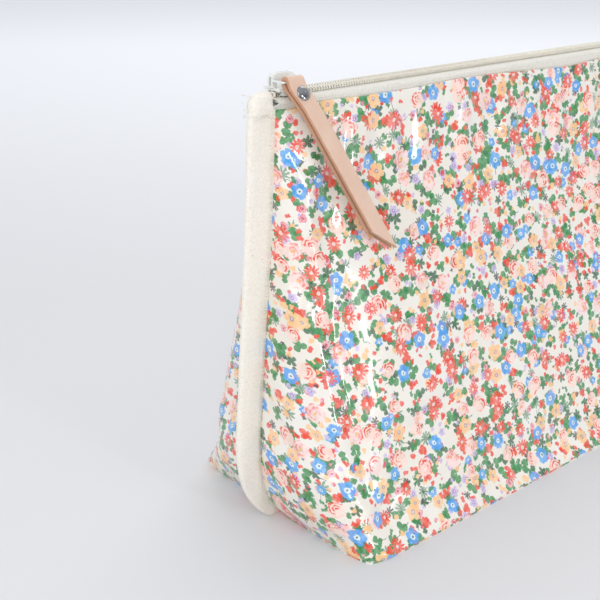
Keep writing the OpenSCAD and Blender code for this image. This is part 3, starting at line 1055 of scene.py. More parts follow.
@dataclass
class ClothDrape:
    """Loosens a wall's cloth with a short cloth simulation.

    Attributes:
        slack: How much larger than its frame the cloth is cut.
        frames: Steps of the simulation.
        cap_out: Furthest that a point may move out.
        cap_in: Furthest that a point may move in.
    """

    slack: float = 0.014
    frames: int = 22
    cap_out: float = 2.6
    cap_in: float = 5.0

    def run(self, start: np.ndarray, seed: int) -> np.ndarray:
        """Lets a pinned sheet sag.

        Args:
            start: Grid of places (column, row, 3), pinned round its rim.
            seed: Picks the first small unevenness of the cloth.

        Returns:
            How far each point moved along the sheet's normal, in mm.
        """
        normal = grid_normals(start)
        if normal[:, :, 1].mean() * start[:, :, 1].mean() < 0:
            normal = -normal
        u, v = np.meshgrid(*(np.arange(n) * 5.0 for n in start.shape[:2]), indexing="ij")
        bump = 0.8 * ripple(u, v, 38, seed) + 0.3 * ripple(u, v, 16, seed + 1)
        fade = ease(u, 0, 12) * ease(-u, -u.max(), 12 - u.max()) * ease(v, 0, 12)
        fade *= ease(-v, -v.max(), 12 - v.max())
        maker = Maker()
        grid = maker.grid(start + normal * (bump * fade)[:, :, None])
        sheet = maker.build("drape", [])
        rim = np.concatenate([grid[0], grid[-1], grid[:, 0], grid[:, -1]])
        sheet.vertex_groups.new(name="sewn").add([int(i) for i in set(rim)], 1.0, "REPLACE")
        cloth = sheet.modifiers.new("cloth", "CLOTH")
        settings = cloth.settings
        settings.quality = 6
        settings.mass = 0.30
        settings.tension_stiffness = settings.compression_stiffness = 30
        settings.shear_stiffness = 15
        settings.bending_stiffness = 6
        settings.vertex_group_mass = "sewn"
        settings.shrink_min = -self.slack
        settings.effector_weights.gravity = 0.6
        cloth.point_cache.frame_start = 1
        cloth.point_cache.frame_end = self.frames
        scene = bpy.context.scene
        for step in range(1, self.frames + 1):
            scene.frame_set(step)
        settled = sheet.evaluated_get(bpy.context.evaluated_depsgraph_get())
        moved = np.zeros(len(settled.data.vertices) * 3)
        settled.data.vertices.foreach_get("co", moved)
        scene.frame_set(1)
        bpy.data.objects.remove(sheet)
        shift = moved.reshape(start.shape) / MM - start
        out = (shift * normal).sum(2)
        return np.clip(out, -self.cap_in, self.cap_out)


def finer(values: np.ndarray, cols: int, rows: int) -> np.ndarray:
    """Spreads a coarse grid of numbers over a finer grid and smooths its steps."""
    old_c, old_r = (np.linspace(0, 1, n) for n in values.shape)
    new_c, new_r = np.linspace(0, 1, cols), np.linspace(0, 1, rows)
    wide = np.stack([np.interp(new_c, old_c, column) for column in values.T], 1)
    full = np.stack([np.interp(new_r, old_r, row) for row in wide], 0)
    for _ in range(2):
        pad = np.pad(full, 1, mode="edge")
        full = (pad[:-2, 1:-1] + pad[2:, 1:-1] + pad[1:-1, :-2] + pad[1:-1, 2:]
                + 2 * full) / 6
    return full


# ---- pieces ------------------------------------------------------------------------------


@dataclass
class Walls:
    """Outer cloth and lining of both walls, each in two halves.

    Attributes:
        form: Shape of the bag.
        finishes: Materials.
        half_cols: Columns of the fine grid on each side of the middle.
        rows: Rows of the fine grid.
        cloth_t: Thickness of one layer of outer cloth.
        roll: Radius of the folded top edge.
        foot_r: Radius of the turn into the base.
        lining_t: Thickness of the lining.
        lining_gap: Distance from the outer face to the lining where the two are sewn.
        deepest: Furthest in that the cloth goes.
        highest: Furthest out that it goes.
    """

    form: BagForm
    finishes: Finishes
    half_cols: int = 104
    rows: int = 104
    cloth_t: float = 0.5
    roll: float = 0.62
    foot_r: float = 1.1
    lining_t: float = 0.45
    lining_gap: float = 1.25
    deepest: float = 6.5
    highest: float = 3.2

    def sculpt(self, side: Side, places: np.ndarray, flat: np.ndarray) -> np.ndarray:
        """How far the cloth stands out of or in from the loft, in mm."""
        x, z = places[:, :, 0], places[:, :, 2]
        u, v = flat[:, :, 0], flat[:, :, 1]
        height = self.form.heights[side]
        coarse, _ = self.form.wall(side, 0, 38, 38)
        sag = finer(ClothDrape().run(coarse, 20 + side.value), *x.shape)
        edge = np.abs(u).max(0)[None, :] - np.abs(u)
        inner = ease(edge, 0, 16) * ease(z, 0, 14) * ease(-z, -height, 10 - height)
        creases = 0.35 - np.abs(ripple(u, v, 21, 40 + side.value))
        waves = (0.8 * ripple(u, v, 46, 50 + side.value) + 0.5 * creases
                 + 0.22 * ripple(u, v, 9, 60 + side.value))
        total = sag + waves * inner
        for dent in DENTS[side]:
            total = total - dent.press(x, z) * ease(edge, 0, 10)
        # the cloth puckers where the seams draw it in
        pucker = ripple(v, u * 0.25, 6.5, 70 + side.value) * np.exp(-edge / 7) * 0.45
        pucker += ripple(u, v * 0.3, 8.0, 80 + side.value) * np.exp(-z / 6) * 0.35
        total = total + pucker * ease(edge, 0, 1.5)
        if side is Side.FRONT:
            # it lies flat under the leather pull
            under = ease(-x, 78, 96) * ease(z, 108, 124) * ease(-z, -height - 1, -height)
            total = np.where(total > -0.3, total * (1 - under) - 0.3 * under, total)
        return np.clip(total, -self.deepest, self.highest)

    def outer(self, side: Side) -> tuple[np.ndarray, np.ndarray]:
        """Face of a wall's outer cloth, with its turned foot and rolled top edge."""
        places, flat = self.form.wall(side, 0, self.half_cols, self.rows)
        normal = grid_normals(places)
        if normal[:, :, 1].mean() * side.value < 0:
            normal = -normal
        places = places + normal * self.sculpt(side, places, flat)[:, :, None]
        foot, foot_n = places[:, :1], normal[:, :1] * (1, 1, 0)
        foot_n = foot_n / np.linalg.norm(foot_n, axis=2, keepdims=True)
        r = self.foot_r
        turned = [foot - foot_n * r * (1 - math.cos(a)) - np.array([0, 0, r * math.sin(a)])
                  for a in np.radians([90, 60, 30])]
        top, top_n = places[:, -1:], normal[:, -1:]
        up = places[:, -1:] - places[:, -2:-1]
        up = up / np.linalg.norm(up, axis=2, keepdims=True)
        rolled = [top + up * self.roll * math.sin(a) - top_n * self.roll * (1 - math.cos(a))
                  for a in np.radians([35, 70, 105, 140, 180])]
        rolled.append(rolled[-1] - up * 2.5)
        grid = np.concatenate(turned + [places] + rolled, axis=1)
        below = [flat[:, :1] - (0, d) for d in (1.7, 1.1, 0.6)]
        above = [flat[:, -1:] + (0, d) for d in (0.4, 0.8, 1.2, 1.6, 2.0, 4.5)]
        return grid, np.concatenate(below + [flat] + above, axis=1)

    def halves(self, grid: np.ndarray, under: np.ndarray, flat: np.ndarray, side: Side,
               name: str, finishes: list[bpy.types.Material], flip: bool) -> None:
        """Cuts a sheet at its middle and makes each half a piece of its own.

        Args:
            grid: Face of the whole sheet.
            under: Its back.
            flat: Its place on the flat cloth.
            side: Front or back.
            name: Name of the sheet.
            finishes: Its materials.
            flip: Whether the grid runs the other way round its face side.
        """
        middle = grid.shape[0] // 2
        for end in End:
            cut = slice(0, middle + 1) if end is End.LEFT else slice(middle, None)
            maker = Maker()
            maker.sheet(*(a[cut][::-1] if flip else a[cut] for a in (grid, under, flat)))
            piece = maker.build(f"{side.word}_{end.word}_{name}", finishes)
            node = f"{side.word}_{'panel' if name == 'cloth' else name}"
            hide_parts(node, f"{node}_ends")
            hang(piece, side)

    def build(self) -> None:
        """Makes the outer cloth and the lining of both walls."""
        for side in Side:
            grid, flat = self.outer(side)
            normal = grid_normals(grid)
            if normal[:, 3:-6, 1].mean() * side.value < 0:
                normal = -normal
            self.halves(grid, grid - normal * self.cloth_t, flat, side, "cloth",
                        [self.finishes.print_cloth], side is Side.BACK)
            base = grid[::2, 3:-6][:, ::2]
            inward = normal[::2, 3:-6][:, ::2]
            u, v = flat[::2, 3:-6][:, ::2, 0], flat[::2, 3:-6][:, ::2, 1]
            loose = self.lining_gap + 0.35 * (1 + ripple(u, v, 17, 90 + side.value)) * ease(v, 0, 10)
            free = ease(-v, -v.max() - 1, -v.max() + 6)
            loose = loose * free + self.lining_gap * (1 - free)
            face = base - inward * loose[:, :, None]
            face[:, 0, 2] += 1.2
            back = face - inward * self.lining_t
            # the lining shows on its inner face, so that is its face side
            self.halves(back, face, flat[::2, 3:-6][:, ::2], side, "lining",
                        [self.finishes.lining], side is Side.FRONT)


def hang(piece: bpy.types.Object, side: Side) -> None:
    """Bakes a wall piece's transform into its mesh."""
    f"{side.word}_wall"
    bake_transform(piece)


@dataclass
class Base:
    """Flat base of the bag: printed cloth under a lining, and the tape over its end seams.

    Attributes:
        form: Shape of the bag.
        finishes: Materials.
    """

    form: BagForm
    finishes: Finishes

    def sheet(self, node: str, low: float, high: float, material: bpy.types.Material,
              slot: str, seed: int) -> None:
        """Makes a flat sheet with round corners and slight waves in place of a node."""
        corner_low, corner_high = (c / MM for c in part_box(node))
        half_x, half_y = corner_high.x, corner_high.y
        s, t = np.meshgrid(np.linspace(-1, 1, 61), np.linspace(-1, 1, 31), indexing="ij")
        round_off = 0.045 * np.clip(np.abs(s) ** 14 * np.abs(t) ** 7, 0, 1)
        x, y = s * half_x * (1 - round_off * 0.5), t * half_y * (1 - round_off)
        rim = ease(1 - np.abs(s), 0, 0.12) * ease(1 - np.abs(t), 0, 0.2)
        wave = (high - low) * 0.22 * (1 + ripple(x, y, 34, seed)) * rim
        under = np.stack([x, y, np.full_like(x, low)], 2)
        upper = np.stack([x, y, high - (high - low) * 0.44 + wave], 2)
        maker = Maker()
        maker.sheet(upper, under, np.stack([x, y], 2))
        piece = maker.build(node.replace("_panel", "_cloth") + "_sheet", [material])
        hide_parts(node)
        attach(piece, "root")

    def seam_tape(self, end: End) -> None:
        """Makes the tape folded over the raw seam at one end of the base."""
        node = f"{end.word}_box_seam_tape"
        low, high = (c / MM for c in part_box(node))
        middle_x, width, height = (low.x + high.x) / 2, high.x - low.x, high.z - low.z
        profile = smooth_line([(-0.42, 0.0), (-0.46, 0.55), (-0.22, 0.95), (0.0, 1.0),
                               (0.22, 0.95), (0.46, 0.55), (0.42, 0.0)], 15)
        y = np.linspace(low.y, high.y, 60)
        wave = ripple(y, y * 0, 13, 7 + end.value)
        outer = np.stack([np.stack([middle_x + end.value * p[0] * width + 0.25 * wave, y,
                                    low.z + p[1] * height * (0.97 + 0.03 * wave)], 1)
                          for p in profile], 0)
        flat = np.stack(np.meshgrid(np.linspace(0, 9, 15), y, indexing="ij"), 2)
        normal = grid_normals(outer)
        if normal[7, :, 2].mean() < 0:
            normal, outer, flat = -normal, outer[::-1], flat[::-1]
            normal = normal[::-1]
        maker = Maker()
        maker.sheet(outer, outer - normal * 0.4, flat)
        piece = maker.build(f"{end.word}_base_seam_tape", [self.finishes.binding])
        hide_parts(node)
        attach(piece, "root")

    def build(self) -> None:
        """Makes the base cloth, its lining and both seam tapes."""
        thickness = self.form.foot
        self.sheet("base_panel", 0.0, thickness, self.finishes.print_cloth,
                   "laminated_cotton", 5)
        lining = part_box("base_lining")
        self.sheet("base_lining", lining[0].z / MM, lining[1].z / MM, self.finishes.lining,
                   "lining", 6)
        for end in End:
            self.seam_tape(end)


@dataclass
class BoundSeam:
    """Canvas binding folded over an end seam, its loop stitches, and its frayed top fold.

    Attributes:
        form: Shape of the bag.
        finishes: Materials.
        end: Left or right.
        cloth_t: Thickness of the canvas.
        stitch_pitch: Distance between stitches.
    """

    form: BagForm
    finishes: Finishes
    end: End
    cloth_t: float = 0.75
    stitch_pitch: float = 1.3

    def strip(self) -> None:
        """Makes the folded strip that wraps the seam."""
        form = self.form
        top = form.heights[Side.FRONT] + 0.4
        z = np.concatenate([np.linspace(0.15, 20, 26), np.linspace(20, top, 90)[1:]])
        inner, width = form.seam_x(z), form.fin_w(z)
        profile = smooth_line([(-0.7, -1.85), (0.6, -1.72), (4.2, -1.78), (8.2, -1.66), (10.9, -1.5),
                               (12.25, -0.95), (12.55, 0.0), (12.25, 0.95), (10.9, 1.5),
                               (8.2, 1.66), (4.2, 1.78), (0.6, 1.72), (-0.7, 1.85)], 45)
        rows = []
        along, girth = travel(np.stack([inner, z], 1)), travel(profile)
        reach = profile[:, 0] / 12.55
        for k, height in enumerate(z):
            edge = 0.35 * float(ripple(np.array(height), np.array(0.0), 19, 11 + self.end.value))
            puff = 0.16 * ripple(np.full(45, height), profile[:, 0], 5.5, 13 + self.end.value)
            wide = (width[k] + edge) * (1 - 0.3 * float(ease(height, top - 8, top + 2)) ** 2)
            x = inner[k] + np.where(reach > 0, reach * wide, profile[:, 0])
            sway = 0.35 * float(ripple(np.array(height), np.array(5.0), 27, 17 + self.end.value))
            fade = np.clip(reach, 0, 1)
            y = profile[:, 1] + puff * np.sign(profile[:, 1]) * fade + sway * fade
            rows.append(np.stack([self.end.value * x, y, np.full(45, height)], 1))
        outer = np.stack(rows, 1)
        flat = np.stack(np.meshgrid(girth, along, indexing="ij"), 2)
        normal = grid_normals(outer)
        if normal[22, :, 0].mean() * self.end.value < 0:
            outer, flat = outer[::-1], flat[::-1]
            normal = grid_normals(outer)
        maker = Maker()
        maker.sheet(outer, outer - normal * self.cloth_t, flat)
        piece = maker.build(f"{self.end.word}_seam_binding", [self.finishes.binding])
        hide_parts(f"{self.end.word}_binding")
        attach(piece, "root")
        f"front_{self.end.word}_cloth"
        f"back_{self.end.word}_cloth"

    def stitches(self) -> None:
        """Makes the row of small loops along the binding's inner edge, front and back."""
        form = self.form
        maker = Maker()
        z = np.linspace(2, form.heights[Side.FRONT] - 3, 1200)
        path = np.stack([form.seam_x(z), z], 1)
        steps = travel(path)
        luck = np.random.RandomState(31 + self.end.value)
        for side in Side:
            for s in np.arange(1.0, steps[-1], self.stitch_pitch):
                x, height = np.interp(s, steps, path[:, 0]), np.interp(s, steps, z)
                ahead = np.array([np.interp(s + 1, steps, path[:, 0]) - x,
                                  np.interp(s + 1, steps, z) - height])
                ahead /= max(np.linalg.norm(ahead), 1e-6)
                aside = np.array([ahead[1], -ahead[0]])
                reach = luck.uniform(0.85, 1.1)
                loop = []
                for t in np.linspace(0, 1, 7):
                    d = 0.95 - reach + t * (2 * reach)
                    drift = 0.28 * (t - 0.5)
                    lift = 2.12 - 0.3 * (2 * t - 1) ** 2
                    point = np.array([x, height]) + aside * d + ahead * drift
                    loop.append((self.end.value * point[0], side.value * lift, point[1]))
                maker.tube(np.array(loop), np.array([0.12, 0.21, 0.24, 0.24, 0.24, 0.21, 0.12]), 6)
        piece = maker.build(f"{self.end.word}_binding_stitches", [self.finishes.thread])
        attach(piece, "root")

    def top_fold(self) -> None:
        """Makes the binding's raw end, folded over the top of the seam, with loose threads."""
        low, high = (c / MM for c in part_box(f"{self.end.word}_binding"))
        seam = self.form.seam_top
        left, right = seam + 1.9, seam + self.form.binding_w + 0.2
        top = high.z + 1.2
        x = np.linspace(left, right, 26)
        luck = np.random.RandomState(57 + self.end.value)
        profile = smooth_line([(-2.35, top - 9.5), (-2.75, top - 6.0), (-2.6, top - 2.6),
                               (-1.7, top - 0.5), (0.0, top), (1.7, top - 0.5), (2.6, top - 2.6),
                               (2.75, top - 6.0), (2.35, top - 9.5)], 41)
        outer = np.zeros((41, 26, 3))
        for j, place in enumerate(x):
            crumple = 0.35 * ripple(profile[:, 0] * 2, profile[:, 1] + place, 4.5,
                                    19 + self.end.value)
            share = j / 25
            sink = 5.6 * (1 - math.sqrt(max(0.0, 1 - share ** 2.6))) + 0.5 * (1 - share) ** 6
            outer[:, j, 0] = self.end.value * (place + 0.5 * ripple(
                profile[:, 1], profile[:, 0], 5.0, 23))
            outer[:, j, 1] = profile[:, 0] * (1 - 0.85 * share ** 6) + crumple * 0.5
            outer[:, j, 2] = profile[:, 1] - sink + crumple * 0.5
        flat = np.stack(np.meshgrid(travel(profile), x, indexing="ij"), 2)
        normal = grid_normals(outer)
        if normal[20, :, 2].mean() < 0:
            outer, flat = outer[:, ::-1], flat[:, ::-1]
            normal = grid_normals(outer)
        maker = Maker()
        maker.sheet(outer, outer - normal * 0.7, flat)
        for _ in range(46):
            side = luck.choice([-1, 1])
            if luck.rand() < 0.6:
                start = np.array([luck.uniform(left, right), side * 2.45, top - 9.3])
                way = np.array([luck.uniform(-0.4, 0.4), side * 0.25, -1.0])
            else:
                start = np.array([right if luck.rand() < 0.75 else left,
                                  side * luck.uniform(0.3, 2.5), luck.uniform(top - 8, top - 0.8)])
                way = np.array([0.9 if start[0] == right else -0.7, side * 0.2,
                                luck.uniform(-0.6, 0.3)])
            length = luck.uniform(0.6, 1.9)
            curl = luck.uniform(-0.5, 0.5, 3)
            t = np.linspace(0, 1, 6)[:, None]
            thread = start + way * t * length + curl * t ** 2 * length * 0.6
            thread[:, 0] *= self.end.value
            maker.tube(thread, 0.13 * (1 - 0.5 * t[:, 0]), 5)
        piece = maker.build(f"{self.end.word}_binding_top_fold", [self.finishes.binding])
        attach(piece, "root")
        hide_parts(f"{self.end.word}_binding")

    def build(self) -> None:
        """Makes the strip, its stitches and its folded top end."""
        self.strip()
        self.stitches()
        self.top_fold()


@dataclass
class ZipChain:
    """Woven tapes and nylon coils of the zip, in halves.

    Attributes:
        form: Shape of the bag.
        finishes: Materials.
        pitch: Distance between one turn of the coil and the next.
        wire_r: Radius of the coil's filament.
    """

    form: BagForm
    finishes: Finishes
    pitch: float = 1.5
    wire_r: float = 0.33

    def edge_y(self, side: Side, x: np.ndarray) -> np.ndarray:
        """Distance of the cloth's top edge from the zip's centre line."""
        half, _ = self.form.plan(side, self.form.heights[side], 0, 160)
        return np.interp(np.abs(x), half[:, 0], half[:, 1])

    def tape(self, side: Side, end: End) -> None:
        """Makes half of one tape, from the middle of the zip to its end."""
        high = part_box("zip_tape_ends")[1] / MM
        x = np.concatenate([np.linspace(0, 100, 51), np.linspace(100, high.x - 0.1, 30)[1:]])
        edge_y, edge_z = self.edge_y(side, x), self.form.top_edge(x * end.value, side)
        flat_z = high.z - 0.06
        columns = []
        for k, place in enumerate(x):
            y_e, z_e = edge_y[k], edge_z[k]
            far = 6.9 if y_e < 7.4 else y_e - 1.0
            drop = min(flat_z - 1.7, z_e + 1.7) if y_e > 7.4 else flat_z - 2.0
            line = smooth_line([(0.62, flat_z), (3.4, flat_z), (5.25, flat_z - 0.05),
                                (far - 0.35, flat_z - 0.75), (far - 0.1, drop),
                                (y_e - 1.32, z_e + 0.05), (y_e - 1.4, z_e - 2.4)], 26)
            wave = 0.1 * ripple(np.full(26, place * end.value), line[:, 0], 8, 33)
            fade = ease(line[:, 0], 5.4, 6.4)
            columns.append(np.stack([np.full(26, place * end.value),
                                     side.value * line[:, 0], line[:, 1] + wave * fade], 1))
        outer = np.stack(columns, 0)
        width = np.linspace(0, 12, 26)
        flat = np.stack(np.meshgrid(x * end.value, width, indexing="ij"), 2)
        normal = grid_normals(outer)
        if normal[:, :8, 2].mean() < 0:
            outer, flat = outer[::-1], flat[::-1]
            normal = grid_normals(outer)
        maker = Maker()
        maker.sheet(outer, outer - normal * 0.42, flat)
        piece = maker.build(f"{side.word}_{end.word}_tape", [self.finishes.tape])
        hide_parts(f"{side.word}_zip_tape", "zip_tape_ends")
        hang(piece, side)
        f"{side.word}_{end.word}_cloth"

    def coil(self, side: Side, end: End) -> None:
        """Makes half of one side's coil, with the thread that sews it to the tape."""
        low, high = (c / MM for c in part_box("zip_coil_ends"))
        floor, roof = low.z + self.wire_r + 0.02, high.z - self.wire_r - 0.06
        length = high.x - 0.6
        per_turn = 14
        turns = length / self.pitch
        t = np.arange(0, turns, 1 / per_turn)
        a = 2 * math.pi * t
        near, far = 0.56 + self.wire_r, 3.35 - self.wire_r
        c, s = np.cos(a), np.sin(a)
        y = (near + far) / 2 + (far - near) / 2 * np.sign(c) * np.abs(c) ** 0.55
        z = (floor + roof) / 2 + (roof - floor) / 2 * np.sign(s) * np.abs(s) ** 0.8
        x = self.pitch * t + 0.5 * self.pitch * (0.5 - 0.5 * c)
        x = np.minimum(x, high.x - 0.35)
        swell = self.wire_r * (1 + 0.22 * np.clip(-c, 0, 1) ** 4)
        maker = Maker()
        path = np.stack([end.value * x, side.value * y, z], 1)
        maker.tube(path, swell, 7)
        for row in (2.05, 2.85):
            beads = np.arange(0, length, self.pitch / 4)
            lift = roof + self.wire_r * 0.75 + 0.12 * np.cos(2 * math.pi * beads / self.pitch)
            path = np.stack([end.value * beads, np.full_like(beads, side.value * row), lift], 1)
            maker.tube(path, 0.15, 5, 1)
        piece = maker.build(f"{side.word}_{end.word}_coil",
                            [self.finishes.coil, self.finishes.thread])
        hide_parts(f"{side.word}_coil", "zip_coil_ends")
        hang(piece, side)

    def stops(self) -> None:
        """Makes the thread bars at both ends of the zip."""
        for node in ("left_zip_stops", "right_zip_stop"):
            low, high = (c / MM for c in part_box(node))
            maker = Maker()
            # two bars that leave the slider's way free, or one bar across both coils
            far = high.y
            near, signs = (0.75, (-1, 1)) if node.startswith("left") else (-far, (1,))
            t = np.linspace(0, 2 * math.pi, 24, endpoint=False)
            y = (near + far) / 2 + (far - near - 0.4) / 2 * np.cos(t)
            z = (low.z + high.z) / 2 + (high.z - low.z - 0.4) / 2 * np.sign(
                np.sin(t)) * np.abs(np.sin(t)) ** 0.4
            for sign in signs:
                for k, x in enumerate(np.linspace(low.x + 0.22, high.x - 0.22, 5)):
                    ring = np.stack([x + 0.05 * np.sin(3 * t + k), sign * y, z], 1)
                    maker.tube(ring, 0.19, 6, 0, True)
            piece = maker.build(node.replace("zip_stop", "thread_stop"), [self.finishes.thread])
            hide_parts(node)
            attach(piece, "root")

    def build(self) -> None:
        """Makes tapes, coils and stops."""
        for side in Side:
            for end in End:
                self.tape(side, end)
                self.coil(side, end)
        self.stops()


@dataclass
class SliderParts:
    """Enamelled slider and its wire, kept from the frame with softened cast edges.

    Attributes:
        finishes: Materials.
        soft_edge: Radius of the cast edges.
    """

    finishes: Finishes
    soft_edge: float = 0.28

    def build(self) -> None:
        """Dresses the slider's nodes."""
        dress = {"slider_body": self.finishes.enamel, "slider_crown": self.finishes.enamel,
                 "pull_wire": self.finishes.enamel, "slider_lock_spring": self.finishes.steel}
        for name, material in dress.items():
            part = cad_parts[name]
            part.data.materials.clear()
            part.data.materials.append(material)
            if name == "pull_wire":
                continue
            bevel = part.modifiers.new("cast_edge", "BEVEL")
            bevel.width = (0.08 if name == "slider_lock_spring" else self.soft_edge) * MM
            bevel.segments = 4
            bevel.limit_method = "ANGLE"
            bevel.angle_limit = math.radians(35)
            bevel.harden_normals = True
            part.data.polygons.foreach_set("use_smooth", [True] * len(part.data.polygons))
            LOG.info("dressed %s", name)


@dataclass
class LeatherPull:
    """Leather strip folded over the slider's wire and riveted to itself.

    Attributes:
        finishes: Materials.
        thickness: Thickness of the leather.
        width: Width of the strip along its fold.
        loop_r: Radius of its middle line round the wire.
        knee: Where the strip bends to lie along the wall, (y, z).
        tip: Where its longer corner ends, (y, z).
        lean: Sideways lean for each mm down.
        tip_slant: How much shorter the other corner is.
        rivet_down: Distance of the rivet from the wire.
    """

    finishes: Finishes
    thickness: float = 1.7
    width: float = 8.8
    loop_r: float = 1.6
    knee: tuple[float, float] = (-13.6, 192.0)
    tip: tuple[float, float] = (-29.4, 129.5)
    lean: float = 0.49
    tip_slant: float = 9.0
    rivet_down: float = 6.0

    def __post_init__(self) -> None:
        """Finds the wire in the frame and the strip's directions from it."""
        low, high = (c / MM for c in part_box("pull_wire"))
        self.bar = np.array([low.y + 0.5, high.z - 0.5])
        self.middle_x = (low.x + high.x) / 2
        self.skew_from = self.bar[1] - 2.4
        self.upper = self.unit(np.array(self.knee) - self.bar)
        self.lower = self.unit(np.array(self.tip) - np.array(self.knee))

    @staticmethod
    def unit(v: np.ndarray) -> np.ndarray:
        """A direction of length 1."""
        return v / np.linalg.norm(v)

    @staticmethod
    def quarter(v: np.ndarray) -> np.ndarray:
        """Direction square to one in Y and Z, forwards when it points down."""
        return np.array([v[1], -v[0]])

    def path(self, end_z: float) -> np.ndarray:
        """Middle line of the strip: up the front, round the wire and down the back."""
        tip = np.array(self.tip) + self.lower * (end_z - self.tip[1]) / self.lower[1]
        knee = np.array(self.knee)
        out_upper, out_lower = self.quarter(self.upper), self.quarter(self.lower)
        knee_out = self.unit(out_upper + out_lower)
        blend_up = knee - self.upper * 5.0
        blend_down = knee + self.lower * 6.0
        front = [tip + self.loop_r * out_lower,
                 tip * 0.5 + blend_down * 0.5 + self.loop_r * out_lower,
                 blend_down + self.loop_r * out_lower,
                 knee + self.loop_r * 0.93 * knee_out + 0.1 * self.lower,
                 blend_up + self.loop_r * out_upper]
        bend = [self.bar + self.loop_r * (math.cos(a) * out_upper - math.sin(a) * self.upper)
                for a in np.radians([0, 36, 72, 108, 144, 180])]
        back = [blend_up - self.loop_r * out_upper,
                knee - self.loop_r * 1.03 * knee_out,
                blend_down - self.loop_r * out_lower,
                tip * 0.5 + blend_down * 0.5 - self.loop_r * out_lower,
                tip - self.loop_r * out_lower]
        return smooth_line([tuple(p) for p in front + bend + back], 150)

    def strip(self) -> None:
        """Makes the folded strip."""
        long_line, short_line = self.path(self.tip[1]), self.path(self.tip[1] + self.tip_slant)
        half_t, edge = self.thickness / 2, 0.42
        across = list(np.linspace(-0.94, 0.94, 17))
        right_edge = [(1 - 0.02, 1 - edge), (1.0, 0.0), (1 - 0.02, -(1 - edge))]
        left_edge = [(-1 + 0.03, -(1 - edge)), (-1, 0.0), (-1 + 0.03, 1 - edge)]
        ring = ([(s, 1.0) for s in across] + right_edge
                + [(s, -1.0) for s in across[::-1]] + left_edge)
        rivet = self.bar + self.rivet_down * self.upper
        rows = []
        count = len(long_line)
        fold = count // 2
        for i in range(count):
            row = []
            a, b = max(0, i - 1), min(count - 1, i + 1)
            for s, n in ring:
                share = (s + 1) / 2
                middle = short_line[i] * (1 - share) + long_line[i] * share
                way = self.unit((short_line[a] - short_line[b]) * (1 - share)
                                + (long_line[a] - long_line[b]) * share)
                out = self.quarter(way)
                shift = self.lean * max(0.0, self.skew_from - middle[1])
                if i > fold:
                    shift *= 0.985
                x = self.middle_x + s * self.width / 2 + shift
                level = n * half_t
                near = math.hypot(s * self.width / 2, np.linalg.norm(middle - rivet))
                if n > 0 and i < fold:
                    level -= 0.28 * math.exp(-((near - 3.5) / 0.8) ** 2)
                level += 0.05 * float(ripple(np.array(s * 9.0), np.array(i * 0.9), 4.2, 3))
                point = middle + level * out
                row.append((x, point[0], point[1]))
            rows.append(row)
        grid = np.array(rows)
        maker = Maker()
        index = maker.add(grid) + np.arange(grid.shape[0] * grid.shape[1]).reshape(grid.shape[:2])
        wide = len(across)
        finish = ([0] * (wide - 1) + [1] * 4 + [2] * (wide - 1) + [1] * 4)
        loop = np.hstack([index, index[:, :1]])
        for k, part in enumerate(finish):
            maker.quads(loop[:-1, k], loop[:-1, k + 1], loop[1:, k + 1], loop[1:, k], part)
        for cap, flip in ((index[0], True), (index[-1], False)):
            front, back = cap[:wide], cap[wide + 3:2 * wide + 3][::-1]
            maker.quads(front[:-1], front[1:], back[1:], back[:-1], 1, not flip)
            for corner in ((cap[wide - 1], cap[wide], cap[wide + 1], cap[wide + 2], cap[wide + 3]),
                           (cap[2 * wide + 2], cap[2 * wide + 3], cap[2 * wide + 4],
                            cap[2 * wide + 5], cap[0])):
                face = tuple(int(i) for i in (corner[::-1] if not flip else corner))
                maker.faces.append(face)
                maker.finish_of.append(1)
        piece = maker.build("leather_strap", self.finishes.leather)
        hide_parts("leather_pull")
        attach(piece, "pull")

    def rivet(self) -> None:
        """Makes the rivet's domed cap and its back head, turned on a lathe."""
        cap_r = 3.2
        at = self.bar + self.rivet_down * self.upper
        out = self.quarter(self.upper)
        x = self.middle_x + self.lean * max(0.0, self.skew_from - at[1])
        axis = np.array([0, out[0], out[1]])
        along = np.array([0, self.upper[0], self.upper[1]])
        centre = np.array([x, at[0], at[1]])
        leather = self.loop_r + self.thickness / 2
        dome = smooth_line([(0.02, 1.1), (1.1, 0.99), (2.1, 0.68), (2.8, 0.32), (3.12, 0.12),
                            (cap_r, -0.02), (3.1, -0.16), (2.7, -0.2), (0.02, -0.2)], 30)
        head = smooth_line([(0.02, 0.38), (1.4, 0.34), (2.05, 0.22), (2.2, 0.08), (2.1, -0.08),
                            (0.02, -0.1)], 18)
        parts = {"rivet_cap": (dome, 1), "rivet_post": (head, -1)}
        for node, (profile, way) in parts.items():
            turn = np.linspace(0, 2 * math.pi, 48, endpoint=False)
            grid = np.zeros((len(profile), 48, 3))
            for k, (radius, height) in enumerate(profile):
                grid[k] = (centre + axis * way * (leather + height)
                           + radius * (np.cos(turn)[:, None] * np.array([1, 0, 0])
                                       + np.sin(turn)[:, None] * along))
            maker = Maker()
            index = maker.grid(grid, None, 0, False, True, flip=way > 0)
            for loop, flip in ((index[0], way > 0), (index[-1], way < 0)):
                maker.faces.append(tuple(int(i) for i in (loop if flip else loop[::-1])))
                maker.finish_of.append(0)
            if node == "rivet_post":
                shank = centre + axis * np.linspace(-leather, leather, 4)[:, None]
                maker.tube(shank, 1.1, 20)
            name = "rivet_dome" if way > 0 else "rivet_shank"
            piece = maker.build(name, [self.finishes.nickel])
            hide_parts(node)
            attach(piece, "pull")

    def build(self) -> None:
        """Makes the strip and its rivet."""
        self.strip()
        self.rivet()


# ---- studio ------------------------------------------------------------------------------


